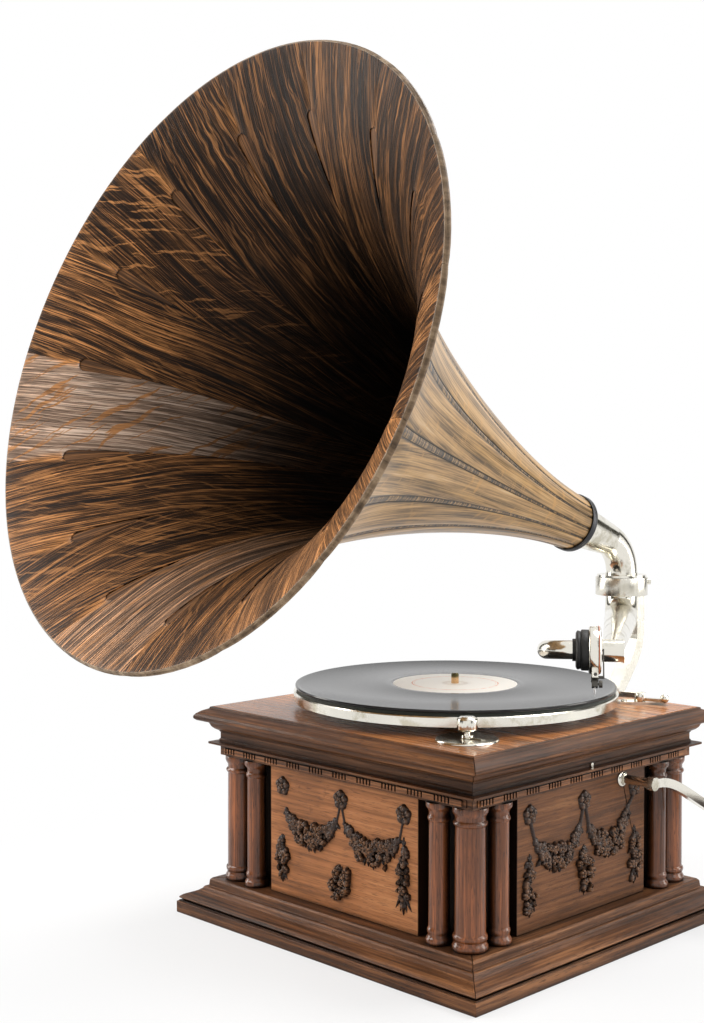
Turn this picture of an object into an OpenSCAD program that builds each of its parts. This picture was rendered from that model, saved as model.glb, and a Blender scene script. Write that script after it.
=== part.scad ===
// Horn phonograph with an oak cabinet, a spring motor and a back bracket that
// carries the tone arm and the spear-tip wooden horn.
// Origin: centre of the cabinet's underside. -Y is the front, +X the crank side, +Z up.
// Lengths are in millimetres and angles in degrees.

/* [Cabinet] */
// Width and depth of the lowest slab
base_w = 374; // [366:1:390]
// Height of the lowest slab
slab_h = 12; // [8:0.5:16]
// Height of the ogee moulding above the slab
plinth_h = 21; // [16:0.5:28]
// Height of the columns and panels
column_h = 118; // [110:1:140]
// Height of the bead-and-reel architrave
architrave_h = 12.5; // [10:0.5:15]
// Height of the frieze
frieze_h = 11; // [8:0.5:16]
// Height of the cornice with the top board
cornice_h = 22.5; // [20:0.5:28]
// Width and depth of the box behind the columns
carcass_w = 264; // [262:1:270]
// Thickness of the box walls
wall_t = 12; // [8:0.5:14]
// Distance from each corner of the box to the edge of the applied panel
panel_inset = 39.5; // [37:0.5:46]
// Thickness of each applied panel
panel_t = 18.5; // [14:0.5:19]
// Thickness of the top board
board_t = 12; // [9:0.5:14]
// How far the cornice nose stands out past the edge of the top board
cornice_out = 11; // [8:0.5:12]

/* [Columns] */
// Shaft radius of the column at each corner
corner_column_r = 13; // [11:0.25:13.5]
// Shaft radius of the column beside each panel
side_column_r = 9; // [7:0.25:9.5]

/* [Turntable] */
// Diameter of the record
record_d = 301.6; // [296:0.2:302]
// Thickness of the record
record_t = 2.6; // [2:0.1:3.2]
// Thickness of the felt
felt_t = 3; // [2:0.1:4]
// Diameter of the turntable
platter_d = 304.8; // [303:0.2:306]
// Height of the turntable's rim
platter_h = 9.5; // [8:0.25:12]
// Gap between the turntable's rim and the top board
platter_gap = 7.4; // [6.5:0.1:9]
// Radius of the spindle pin that the record drops over
pin_r = 3.6; // [3.4:0.05:3.63]
// Height of the spindle pin above the record
pin_h = 9.5; // [7:0.5:14]

/* [Horn] */
// Length of the wooden horn along its axis
horn_l = 503; // [480:1:540]
// Outer radius at the mouth
mouth_r = 272; // [245:1:285]
// Outer radius at the throat
throat_r = 28.4; // [27.5:0.1:30]
// Thickness of the horn's wall
horn_wall = 5.6; // [5:0.1:5.7]
// Angle of the horn's axis above level
horn_tilt = 18.15; // [12:0.05:24]
// Turn of the horn from the cabinet's centre line, as it stands
horn_yaw = -2.1; // [-8:0.1:8]
// Number of staves
stave_count = 15; // [12:1:18]
// Angle that each spear-shaped inlay takes up
spear_angle = 3; // [2:0.1:4]
// Share of the flare that is a gentle curve, the rest being the sharp curl of the bell
flare_share = 0.68; // [0.6:0.01:0.8]
// Length of the straight nickel neck between the bend and the horn
neck_l = 58; // [48:1:66]
// Radius of the bend in the nickel neck
neck_bend_r = 40; // [34:1:46]

/* [Back bracket] */
// Distance of the collar's centre behind the cabinet's centre
collar_y = 268.6; // [262:0.2:276]
// Height of the collar's underside
collar_z = 285; // [283:0.5:295]
// Height of the collar
collar_h = 19; // [18:0.5:24]
// Outer radius of the collar
collar_r = 27.5; // [25.5:0.25:29]
// Width of the bracket's leg
leg_w = 16; // [12:0.5:20]
// Depth of the bracket's leg
leg_t = 13; // [10:0.5:14]

/* [Tone arm] */
// Length from the swing axis to the joint of the crook
arm_l = 221; // [215:0.5:226]
// Angle of the arm from the cabinet's centre line while the needle is at the record's edge
arm_yaw = 33.1; // [31.5:0.1:35]
// Extra turn of the crook's joint from square to the arm
head_yaw = 4.9; // [2:0.1:8]
// Outer radius of the arm where it leaves the collar
arm_big_r = 17; // [15:0.25:17.5]
// Outer radius of the arm at the crook's joint
arm_small_r = 9.5; // [8.5:0.1:10]
// Distance between the two legs of the crook
crook_w = 40; // [38:0.5:44]
// Outer radius of the crook's tube
crook_r = 8.5; // [7.5:0.1:8.8]
// Rise of the crook's outer leg above its joint
crook_rise = 5.5; // [3:0.5:8]

/* [Sound box] */
// Radius of the sound box
box_r = 21.5; // [20.5:0.25:23]
// Thickness of the sound box
box_t = 11; // [10:0.5:13]
// Radius of the rubber flange behind it
flange_r = 18.5; // [16:0.25:19]
// Thickness of the rubber flange
flange_t = 11.5; // [9:0.5:14]
// Lean of the needle from upright
needle_lean = 24.5; // [18:0.5:30]

/* [Crank] */
// Distance of the crank shaft behind the cabinet's centre
crank_y = 57; // [54:0.5:60]
// Height of the crank shaft below the architrave
crank_below = 7.7; // [7.6:0.1:10]
// Distance from the crank shaft to the handle
crank_l = 115; // [105:0.5:115]
// Angle of the parked crank below level
crank_angle = 22; // [12:1:30]
// Radius of the crank shaft
crank_r = 4.2; // [3.5:0.1:4.4]
// Radius of the wooden crank handle
grip_r = 12; // [10:0.25:12.5]
// Length of the wooden crank handle
grip_l = 78; // [65:1:90]

/* [Speed dial] */
// Radius of the dial plate
dial_r = 27; // [22:0.5:28]
// Radius of the speed knob
knob_r = 8.8; // [7:0.1:9.5]

/* [Motor] */
// Outer radius of the spring barrel
barrel_r = 38; // [34:0.5:40]
// Length of the spring barrel
barrel_l = 44; // [36:1:50]
// Radius of the spindle below the turntable
shaft_r = 4; // [3.8:0.1:4.6]
// Number of teeth on the barrel's great wheel
great_teeth = 88; // [80:1:92]

/* [Clearances] */
// Radial gap of a running fit
running = 0.05; // [0.02:0.01:0.09]
// Gap between parts that stand close but don't touch
gap = 0.3; // [0.2:0.05:0.4]
// Gap between glued lengths of wood
joint_gap = 0.2; // [0.1:0.05:0.3]

/* [Hidden] */
round_fn = 96;
fine_fn = 48;

// Levels of the cabinet
plinth_z = slab_h + plinth_h;
architrave_z = plinth_z + column_h;
frieze_z = architrave_z + architrave_h;
cornice_z = frieze_z + frieze_h;
top_z = cornice_z + cornice_h;
board_z = top_z - board_t;

// Plan of the cabinet, as distances of its faces from the centre
carcass_h = carcass_w / 2;
carcass_in = carcass_h - wall_t;
corner_foot_r = corner_column_r + 2;
side_foot_r = side_column_r * corner_foot_r / corner_column_r + 0.9;
corner_c = carcass_h + (corner_foot_r + 0.6) / sqrt(2);
side_y = carcass_h + 5.5 + side_foot_r;
panel_w = carcass_w - 2 * panel_inset;
side_x = panel_w / 2 + 10.5 + side_foot_r;
panel_face = carcass_h + panel_t;
plinth_face = corner_c + corner_foot_r + 5;
architrave_face = corner_c + corner_foot_r - 1;
shelf_face = architrave_face + 8.3;
frieze_face = architrave_face + 0.8;
cornice_edge = frieze_face + 6.7;
cornice_face = cornice_edge + cornice_out;
board_edge = cornice_edge - 2.3;
foot_face = base_w / 2 - 1.5;
moulding_in = carcass_h + joint_gap;

// Levels of the turntable
rim_z = top_z + platter_gap;
platter_z = rim_z + platter_h;
felt_z = platter_z + felt_t;
record_z = felt_z + record_t;
platter_r = platter_d / 2;
record_r = record_d / 2;

// Motor, hung below the top board
bed_t = 5;
bed_gap = 8;
bed_z = board_z - bed_gap - bed_t;
bed_x0 = -92;
bed_x1 = 98;
bed_y0 = -70;
bed_y1 = 84;
cheek_t = 4;
cheek_a = bed_x0 + 16;
cheek_b = bed_x1 - 6;
step_z = 48;
crank_z = architrave_z - crank_below;
arm_x = cornice_face + 3.8;
arm_t = 7;
handle_y = crank_l * cos(crank_angle);
handle_z = -crank_l * sin(crank_angle);
stud_r = 3;
pinion_r = 12;
winding_r = 30;
arbor_r = 4;
arbor_y = crank_y - 29;
arbor_z = crank_z - sqrt(pow(pinion_r + winding_r + gap, 2) - pow(crank_y - arbor_y, 2));
great_r = great_teeth / 2;
inter_pinion_r = 8;
worm_r = 6;
inter_y = arbor_y - great_r - inter_pinion_r - gap;
inter_wheel_r = abs(inter_y) - worm_r - gap;
barrel_x = 22;
great_x = 12;
great_t = 4;
governor_z = step_z + 16;
governor_shaft_r = 2;
governor_worm_r = 5;
governor_y = -26;
fibre_r = abs(governor_y) - governor_worm_r - gap;
governor_collar_x = 24;
disc_x = 60;
disc_t = 3;
disc_r = 16;
disc_play = 0.6;
pinion_x = barrel_x + barrel_l + 9.5;
ratchet_x = barrel_x + barrel_l + 16;
ratchet_r = 16;
ratchet_t = 3;
pawl_y = crank_y - ratchet_r - 10;
pivot_r = 1.5;
bed_screw_r = 2.5;
bed_screw_inset = 8;

// Speed regulator
dial_c = (platter_r + knob_r + 2.6) / sqrt(2);
dial_t = 1.6;
knob_z = top_z + 8;
knob_h = 12;
knob_shaft_r = 2.4;
lever_pivot = [70, -60];
lever_z = bed_z - 12;
lever_t = 4;
cam_r = 3.2;
cam_offset = 0.6;

// Brake
brake_c = [113, 142];
brake_turn = 45;
brake_l = 44;
brake_w = 15;
brake_t = 2;
brake_pivot = [113, 139];
brake_pin_r = 2;
brake_screw_r = 1.5;
brake_lever_z = top_z + brake_t + gap;
brake_arm_h = 5;
pad_gap = 1.5;
pad_a = 56.2;
pad_t = 3;

// Bracket
collar_bore_r = 20;
shoulder_h = 5.3;
lip_h = 2.7;
leg_y = collar_y + arm_big_r + 1.4 + leg_t / 2;
foot_w = 46;
foot_h = 92;
foot_t = 7;
foot_z = 44;
foot_y = panel_face;
bracket_screw_r = 2.5;

// Horn
bend_angle = 90 - horn_tilt;
neck_r = 16.5;
neck_end_r = 22.5;
neck_step = 0.6;
tube_t = 1.5;
elbow_z = collar_z + collar_h + gap;
elbow_flange_t = 2.3;
elbow_flange_r = collar_r - 1.5;
neck_z = elbow_z + elbow_flange_t + 1.5;
ring_r = throat_r + 1.7;
ring_l = 5;
spear_u = 0.94;
seam_angle = 0.1;
first_spear = 82;
stave_pitch = 360 / stave_count;
gentle_p = 1.55;
curl_p = 8;

// Tone arm
arm_slope = 1.9;
arm_bend_r = 24;
arm_bend = 90 - arm_slope;
arm_bend_z = collar_z - 1;
sleeve_r = crook_r + 2;
sleeve_l = 20;
arm_start_y = arm_bend_r * (1 - cos(arm_bend));
arm_start_z = arm_bend_z - arm_bend_r * sin(arm_bend);
joint_z = arm_start_z - (arm_l - arm_start_y) * tan(arm_slope);
crook_tilt = asin(crook_rise / crook_w);
crook_bend_x = -41;
box_x = -17.9;
hub_t = 3;
leg_z = joint_z + crook_rise;
needle_reach = (leg_z - record_z - 0.05) / cos(needle_lean);
diaphragm_t = 0.4;
gasket_t = 1.6;
seat_r = box_r - 2.5;
trunnion_z = -(box_r + 3.5);
trunnion_r = 1.5;
ear_y = 7.3;
ear_t = 2;

wood = [0.50, 0.27, 0.13];
panel_wood = [0.62, 0.36, 0.18];
dark_wood = [0.25, 0.14, 0.08];
nickel = [0.80, 0.79, 0.75];
steel = [0.55, 0.55, 0.56];
iron = [0.20, 0.21, 0.22];
brass = [0.72, 0.58, 0.30];
black = [0.06, 0.06, 0.06];

// Shared shapes

// Four mitred lengths of moulding round the cabinet.
// The outline is a list of [distance of the face from the centre, height].
module mitred_frame(outline, size) {
    for (side = [0 : 3])
        rotate([0, 0, 90 * side])
            intersection() {
                translate([-size, 0, 0])
                    rotate([90, 0, 90])
                        linear_extrude(height = 2 * size)
                            polygon([for (p = outline) [-p[0], p[1]]]);
                translate([0, -joint_gap, 0])
                    linear_extrude(height = top_z + 1)
                        polygon([[0, 0], [-size, -size], [size, -size]]);
            }
}

// A gear blank whose teeth end at radius r, lying on z = 0
module gear(r, thickness, teeth, bore_r) {
    root = r - 1.1;
    step = 360 / teeth;
    linear_extrude(height = thickness)
        difference() {
            polygon([for (i = [0 : teeth - 1], k = [0 : 3])
                let (a = step * (i + [0, 0.4, 0.5, 0.9][k]))
                    (k < 2 ? root : r) * [cos(a), sin(a)]]);
            if (bore_r > 0) circle(r = bore_r, $fn = fine_fn);
        }
}

// A rod along +X that starts at x = 0
module rod_x(r, length) {
    rotate([0, 90, 0]) cylinder(r = r, h = length, $fn = fine_fn);
}

// A ring on the XY plane
module ring(outer_r, inner_r, height) {
    linear_extrude(height = height)
        difference() {
            circle(r = outer_r, $fn = round_fn);
            circle(r = inner_r, $fn = round_fn);
        }
}

// A bent rod of radius r that starts at x = bend_r and turns towards +Y
module rod_bend(bend_r, r, angle) {
    rotate_extrude(angle = angle, $fn = round_fn)
        translate([bend_r, 0]) circle(r = r, $fn = fine_fn);
}

// A strip of even width along a path of points
function strip_side(path, w, sgn) = [for (i = [0 : len(path) - 1])
    let (a = path[max(i - 1, 0)], b = path[min(i + 1, len(path) - 1)], d = (b - a) / norm(b - a))
        path[i] + sgn * w / 2 * [-d[1], d[0]]];
function reversed(list) = [for (i = [len(list) - 1 : -1 : 0]) list[i]];
function strip(path, w) = concat(strip_side(path, w, 1), reversed(strip_side(path, w, -1)));
function curve_point(p, t) = pow(1 - t, 3) * p[0] + 3 * t * pow(1 - t, 2) * p[1]
    + 3 * t * t * (1 - t) * p[2] + pow(t, 3) * p[3];
function curve(p, steps) = [for (i = [0 : steps]) curve_point(p, i / steps)];

// Cabinet

module base_slab() {
    color(wood) {
        linear_extrude(height = slab_h - 1.2) square(base_w, center = true);
        translate([0, 0, slab_h - 1.2])
            linear_extrude(height = 1.2) square(base_w - 3, center = true);
    }
}

module base_moulding() {
    face = plinth_face;
    run = foot_face - face;
    color(wood)
        mitred_frame([
            [moulding_in, slab_h], [foot_face - 2.5, slab_h], [foot_face - 2.5, slab_h + 1.2],
            [foot_face, slab_h + 1.8], [foot_face, slab_h + 3], [face + 0.88 * run, slab_h + 5],
            [face + 0.66 * run, slab_h + 6.8], [face + 0.44 * run, slab_h + 8.8],
            [face + 0.29 * run, slab_h + 11.2], [face + 0.24 * run, slab_h + 13.2],
            [face + 2.2, slab_h + 13.4], [face + 2.2, slab_h + 14.4], [face + 1.6, plinth_z - 1.6],
            [face, plinth_z], [moulding_in, plinth_z]
        ], base_w);
}

module carcass_walls() {
    height = board_z - slab_h;
    color(wood) {
        for (side = [-1, 1])
            translate([-carcass_h, side < 0 ? -carcass_h : carcass_in, slab_h])
                cube([carcass_w, wall_t, height]);
        difference() {
            for (side = [-1, 1])
                translate([side < 0 ? -carcass_h : carcass_in, -carcass_in + joint_gap, slab_h])
                    cube([wall_t, 2 * (carcass_in - joint_gap), height]);
            translate([carcass_in - 1, crank_y, crank_z]) rod_x(crank_r + 1, wall_t + 2);
        }
    }
}

module panel() {
    color(panel_wood)
        translate([-panel_w / 2, -panel_face, plinth_z + joint_gap])
            cube([panel_w, panel_t, column_h - 2 * joint_gap]);
}

module panel_front() {
    panel();
}

module panel_left() {
    rotate([0, 0, -90]) panel();
}

module panel_right() {
    difference() {
        rotate([0, 0, 90]) panel();
        translate([carcass_h - 1, crank_y, crank_z]) rod_x(crank_r + 1, panel_t + 2);
    }
}

module panel_back() {
    difference() {
        rotate([0, 0, 180]) panel();
        bracket_screw_places() cylinder(r = bracket_screw_r + running, h = 30, $fn = fine_fn);
    }
}

// One round boss of the carving, on the plane y = 0 and standing out towards -Y
module boss(x, z, r, depth, top_share) {
    translate([x, 0, z]) rotate([90, 0, 0]) cylinder(r1 = r, r2 = r * top_share, h = depth, $fn = 20);
}

module rosette(x, z) {
    boss(x, z, 4.6, 1.6, 0.9);
    for (i = [0 : 4])
        boss(x + 5 * sin(72 * i), z + 5 * cos(72 * i), 3, 2.4, 0.6);
    boss(x, z, 2.2, 3.6, 0.6);
}

// A garland of blossoms that hangs between two points
module garland(x0, x1, top, sag) {
    blossoms = 7;
    for (i = [0 : blossoms - 1]) {
        t = i / (blossoms - 1);
        swell = sin(180 * t);
        boss(x0 + (x1 - x0) * t, top - sag * swell, 3.4 + 5.2 * swell, 2.6 + 2.6 * swell, 0.7);
    }
}

module pendant(x, top, bottom) {
    sizes = [2.2, 4.4, 6.2, 4.2, 1.8];
    count = len(sizes);
    for (i = [0 : count - 1])
        boss(x, top + (bottom - top) * (i + 0.5) / count, sizes[i], 1.6 + 0.5 * sizes[i], 0.6);
    boss(x, (top + bottom) / 2, 1.6, 1.6, 0.9);
}

module carving() {
    rosette_x = panel_w * 0.41;
    rosette_z = architrave_z - 18;
    color(dark_wood)
        translate([0, -panel_face, 0]) {
            for (x = [-rosette_x, 0, rosette_x]) rosette(x, rosette_z);
            for (side = [-1, 1]) {
                garland(side * 8, side * (rosette_x - 6), rosette_z - 21, 26);
                pendant(side * rosette_x, rosette_z - 34, plinth_z + 12);
            }
            pendant(0, rosette_z - 42, plinth_z + 17);
        }
}

module carving_front() {
    carving();
}

module carving_right() {
    rotate([0, 0, 90]) carving();
}

module carving_left() {
    rotate([0, 0, -90]) carving();
}

// A turned column of shaft radius r, from the plinth to the architrave
module column(r) {
    k = r / corner_column_r;
    foot = r == corner_column_r ? corner_foot_r : side_foot_r;
    h = column_h - joint_gap;
    rotate_extrude($fn = fine_fn)
        polygon([
            [0, 0], [foot - 0.5, 0], [foot, 1.2], [foot, 4.2], [foot - 0.7, 5.4], [r + 0.7, 6.6],
            [r + 0.4, 8], [r + 1.2 * k, 9.2], [r + 1.5 * k, 11], [r + 1.2 * k, 12.6], [r + 0.2, 13.6],
            [r, 15.5], [r - 0.4 * k, h - 16], [r + 0.8 * k, h - 15], [r + 1.4 * k, h - 13.4],
            [r + 0.8 * k, h - 12], [r - 0.3 * k, h - 11], [r - 0.3 * k, h - 8], [r + k, h - 6],
            [foot - 0.3, h - 4.6], [foot, h - 3.4], [foot, h], [0, h]
        ]);
}

module corner_columns() {
    color(wood)
        for (turn = [0 : 90 : 270])
            rotate([0, 0, turn])
                translate([corner_c, -corner_c, plinth_z]) column(corner_column_r);
}

module side_columns() {
    color(wood)
        for (turn = [0 : 90 : 270], side = [-1, 1])
            rotate([0, 0, turn])
                translate([side * side_x, -side_y, plinth_z]) column(side_column_r);
}

module architrave() {
    face = architrave_face;
    color(wood)
        mitred_frame([
            [moulding_in, architrave_z], [face, architrave_z], [face, frieze_z - 3],
            [shelf_face, frieze_z - 2], [shelf_face, frieze_z], [moulding_in, frieze_z]
        ], base_w);
}

// A row of beads, four short ones and then one long one, on a thin strip
module bead_and_reel() {
    strip_t = 0.8;
    bead_t = 2.4;
    bead = 2.2;
    space = 1.6;
    reel = 13;
    group = 4 * (bead + space) + reel + space;
    face = architrave_face + 0.05;
    low = architrave_z + 2.4;
    bead_h = architrave_h - 7.6;
    run = 2 * face - 12;
    groups = floor(run / group);
    start = -groups * group / 2;
    color(wood)
        for (turn = [0 : 90 : 270])
            rotate([0, 0, turn]) {
                translate([-run / 2, -face - strip_t, low - 0.8])
                    cube([run, strip_t, bead_h + 1.6]);
                for (g = [0 : groups - 1]) {
                    for (i = [0 : 3])
                        translate([start + g * group + i * (bead + space), -face - bead_t, low])
                            cube([bead, bead_t, bead_h]);
                    translate([start + g * group + 4 * (bead + space), -face - bead_t, low])
                        cube([reel, bead_t, bead_h]);
                }
            }
}

module frieze() {
    face = frieze_face;
    color(wood)
        difference() {
            mitred_frame([
                [moulding_in, frieze_z], [face, frieze_z], [face, frieze_z + 2.4],
                [face - 0.9, frieze_z + 3.4], [face - 0.9, cornice_z - 2], [face, cornice_z - 1],
                [face, cornice_z], [moulding_in, cornice_z]
            ], base_w);
            translate([face - 8, 0, frieze_z + 1.9]) rod_x(1.3, 10);
        }
}

module cornice() {
    edge = cornice_edge;
    out = cornice_out;
    z0 = cornice_z;
    rebate = board_edge + joint_gap;
    color(wood)
        mitred_frame([
            [moulding_in, z0], [edge - 5.6, z0], [edge - 3.4, z0 + 1.2], [edge - 1.2, z0 + 3.2],
            [edge + 0.4, z0 + 6.6], [edge + 0.4, z0 + 8], [edge + 0.82 * out, z0 + 9.4],
            [edge + out, z0 + 11], [edge + out, z0 + 13.6], [edge + 0.86 * out, z0 + 15.6],
            [edge + 0.5 * out, top_z - 4.2], [edge + 0.1 * out, top_z - 2.4], [edge, top_z - 2],
            [edge, top_z - 0.4], [rebate, top_z - 0.4], [rebate, board_z], [moulding_in, board_z]
        ], base_w);
}

module top_board() {
    color(panel_wood)
        difference() {
            translate([-board_edge, -board_edge, board_z])
                cube([2 * board_edge, 2 * board_edge, board_t]);
            translate([0, 0, board_z - 1]) cylinder(r = 14, h = board_t + 2, $fn = fine_fn);
            translate([dial_c, -dial_c, board_z - 1])
                cylinder(r = knob_shaft_r + running, h = board_t + 2, $fn = fine_fn);
            at_bed_screws(board_z - 1) cylinder(r = bed_screw_r + running, h = board_t + 2, $fn = fine_fn);
            at_brake_screws(board_z - 1)
                cylinder(r = brake_screw_r + running, h = board_t + 2, $fn = fine_fn);
            translate([brake_pivot[0], brake_pivot[1], board_z - 1])
                cylinder(r = brake_pin_r + running, h = board_t + 2, $fn = fine_fn);
        }
}

module side_pin() {
    color(nickel)
        translate([frieze_face - 8, 0, frieze_z + 1.9]) {
            rod_x(1.25, 8.2);
            translate([8 + 0.1, 0, 0]) rod_x(1.8, 1.4);
        }
}

// Motor

module at_bed_screws(z) {
    for (x = [bed_x0 + bed_screw_inset, bed_x1 - bed_screw_inset])
        for (y = [bed_y0 + bed_screw_inset, bed_y1 - bed_screw_inset])
            translate([x, y, z]) children();
}

// Screws through the top board, each with a distance sleeve and a nut under the bedplate
module motor_screws() {
    color(nickel)
        at_bed_screws(0) {
            translate([0, 0, bed_z - 6]) cylinder(r = bed_screw_r, h = top_z - bed_z + 6.5, $fn = fine_fn);
            translate([0, 0, top_z]) cylinder(r = 2 * bed_screw_r, h = 2.2, $fn = fine_fn);
            translate([0, 0, bed_z - 4]) cylinder(r = 2 * bed_screw_r, h = 4, $fn = 6);
            translate([0, 0, bed_z + bed_t]) cylinder(r = 5.5, h = bed_gap, $fn = fine_fn);
        }
}

module motor_frame() {
    bar_z = step_z - 3;
    cheek_y = governor_y - 20;
    color(iron)
        difference() {
            union() {
                translate([bed_x0, bed_y0, bed_z]) cube([bed_x1 - bed_x0, bed_y1 - bed_y0, bed_t]);
                for (x = [cheek_a - cheek_t, cheek_b])
                    translate([x, cheek_y, bar_z]) cube([cheek_t, crank_y + 15 - cheek_y, bed_z - bar_z]);
                translate([cheek_a - cheek_t, -12, bar_z]) cube([cheek_b - cheek_a + 2 * cheek_t, 24, 6]);
                translate([lever_pivot[0], lever_pivot[1], bed_z - 4])
                    cylinder(r = 4, h = 5, $fn = fine_fn);
                translate([ratchet_x + ratchet_t + gap, pawl_y - 3, crank_z - 4])
                    cube([cheek_b - ratchet_x - ratchet_t - gap + 1, 6, 8]);
                translate([0, 0, bed_z - 6]) cylinder(r = 9, h = 7, $fn = fine_fn);
            }
            translate([0, 0, bed_z - 7]) cylinder(r = shaft_r + running, h = bed_t + 9, $fn = fine_fn);
            translate([0, 0, step_z]) cylinder(r = shaft_r + running, h = 10, $fn = fine_fn);
            at_bed_screws(bed_z - 1) cylinder(r = bed_screw_r + running, h = bed_t + 2, $fn = fine_fn);
            axle_hole(cheek_b, crank_y, crank_z, crank_r);
            axle_holes(arbor_y, arbor_z, arbor_r);
            axle_holes(inter_y, arbor_z, arbor_r);
            axle_holes(governor_y, governor_z, governor_shaft_r);
            translate([lever_pivot[0], lever_pivot[1], bed_z - 5])
                cylinder(r = pivot_r + running, h = bed_t + 8, $fn = fine_fn);
            translate([ratchet_x, pawl_y, crank_z])
                rod_x(pivot_r + running, cheek_b + cheek_t + 1 - ratchet_x);
        }
}

// A bearing hole through the cheek that starts at x
module axle_hole(x, y, z, r) {
    translate([x - 1, y, z]) rod_x(r + running, cheek_t + 2);
}

module axle_holes(y, z, r) {
    axle_hole(cheek_a - cheek_t, y, z, r);
    axle_hole(cheek_b, y, z, r);
}

module spring_barrel() {
    color(brass)
        difference() {
            union() {
                translate([barrel_x, arbor_y, arbor_z]) rod_x(barrel_r, barrel_l);
                translate([great_x, arbor_y, arbor_z])
                    rotate([0, 90, 0]) gear(great_r, great_t, great_teeth, 0);
                translate([great_x, arbor_y, arbor_z]) rod_x(12, barrel_x - great_x + 1);
            }
            translate([barrel_x + 2, arbor_y, arbor_z]) rod_x(barrel_r - 2, barrel_l - 4);
            translate([great_x - 1, arbor_y, arbor_z]) rod_x(arbor_r + running, barrel_l + 14);
        }
}

module mainspring() {
    color(steel)
        translate([barrel_x + 2 + gap, arbor_y, arbor_z])
            difference() {
                rod_x(barrel_r - 2 - gap, barrel_l - 4 - 2 * gap);
                translate([-1, 0, 0]) rod_x(9 + gap, barrel_l);
            }
}

module barrel_arbor() {
    color(steel)
        translate([0, arbor_y, arbor_z]) {
            translate([cheek_a - cheek_t, 0, 0]) rod_x(arbor_r, cheek_b - cheek_a + 2 * cheek_t);
            translate([barrel_x + 2 + gap, 0, 0]) rod_x(9, barrel_l - 4 - 2 * gap);
            translate([barrel_x + barrel_l + 10, 0, 0]) rotate([0, 90, 0]) gear(winding_r, 4, 60, 0);
        }
}

module crank_pinion() {
    color(steel)
        translate([pinion_x, crank_y, crank_z])
            rotate([0, 90, 0]) gear(pinion_r, 5, 24, crank_r + running);
}

module ratchet_wheel() {
    teeth = 16;
    step = 360 / teeth;
    color(steel)
        translate([ratchet_x, crank_y, crank_z])
            rotate([0, 90, 0])
                linear_extrude(height = ratchet_t)
                    difference() {
                        polygon([for (i = [0 : teeth - 1], k = [0, 1])
                            (ratchet_r - 3 * k) * [cos(step * (i + k * 0.2)), sin(step * (i + k * 0.2))]]);
                        circle(r = crank_r + running, $fn = fine_fn);
                    }
}

// The click that rests beside the ratchet wheel's teeth, with its own pivot
module pawl() {
    color(steel)
        translate([ratchet_x, pawl_y, crank_z]) {
            rod_x(3.2, ratchet_t);
            translate([0, 0, -1.5]) cube([ratchet_t, crank_y - pawl_y - ratchet_r - gap, 3]);
            rod_x(pivot_r, cheek_b + cheek_t - ratchet_x);
        }
}

module crank_arm() {
    path = curve([[0, 0], [0.28 * handle_y, 3], [0.545 * handle_y, 0.49 * handle_z], [handle_y, handle_z]], 16);
    shaft_x = barrel_x + barrel_l + 4;
    color(nickel) {
        translate([shaft_x, crank_y, crank_z]) rod_x(crank_r, arm_x + 1 - shaft_x);
        translate([arm_x, crank_y, crank_z]) {
            rotate([90, 0, 90]) linear_extrude(height = arm_t) polygon(strip(path, 8));
            rod_x(6, arm_t);
            translate([0, handle_y, handle_z]) {
                rod_x(6.5, arm_t);
                rod_x(stud_r, arm_t + grip_l + 2);
                translate([arm_t + grip_l + gap, 0, 0]) rod_x(stud_r + 2, 2.4);
            }
        }
    }
}

module crank_handle() {
    l = grip_l - gap;
    color(dark_wood)
        translate([arm_x + arm_t + gap, crank_y + handle_y, crank_z + handle_z])
            rotate([0, 90, 0])
                rotate_extrude($fn = fine_fn)
                    polygon([
                        [stud_r + running, 0], [grip_r - 3.5, 0], [grip_r - 2.4, 1], [grip_r - 2.4, 4],
                        [grip_r - 3.4, 6], [grip_r - 1.6, 0.2 * l], [grip_r - 0.3, 0.42 * l],
                        [grip_r, 0.62 * l], [grip_r - 0.8, 0.8 * l], [grip_r - 3, 0.93 * l],
                        [grip_r - 5.5, l], [stud_r + running, l]
                    ]);
}

// The plate round the crank shaft, which is also the shaft's outer bearing
module crank_escutcheon() {
    plate_r = crank_below - gap;
    bore_r = crank_r + running;
    color(nickel)
        translate([panel_face, crank_y, crank_z])
            rotate([0, 90, 0])
                rotate_extrude($fn = fine_fn)
                    polygon([
                        [bore_r, 0], [plate_r, 0], [plate_r, 1], [plate_r - 1, 1.8],
                        [bore_r + 1.2, 2.2], [bore_r + 1, 3.2], [bore_r, 3.2]
                    ]);
}

module intermediate_gear() {
    color(steel)
        translate([0, inter_y, arbor_z]) {
            translate([cheek_a - cheek_t, 0, 0]) rod_x(arbor_r, cheek_b - cheek_a + 2 * cheek_t);
            translate([great_x - 1, 0, 0]) rotate([0, 90, 0]) gear(inter_pinion_r, 6, 16, 0);
            translate([-2.5, 0, 0]) rotate([0, 90, 0]) gear(inter_wheel_r, 5, 40, 0);
        }
}

module spindle() {
    color(steel) {
        translate([0, 0, step_z + gap])
            cylinder(r = shaft_r, h = platter_z - 3 - step_z - gap, $fn = fine_fn);
        translate([0, 0, platter_z - 4])
            cylinder(r = pin_r, h = record_z + pin_h - 1 - platter_z + 4, $fn = fine_fn);
        translate([0, 0, record_z + pin_h - 1])
            cylinder(r1 = pin_r, r2 = pin_r - 1.2, h = 1, $fn = fine_fn);
    }
}

// The worm that the motor drives and the fibre gear that drives the governor
module spindle_gears() {
    color(brass)
        translate([0, 0, arbor_z - 14]) ring(worm_r, shaft_r + running, 28);
    color(dark_wood)
        translate([0, 0, governor_z - 3]) gear(fibre_r, 6, 40, shaft_r + running);
}

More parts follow.
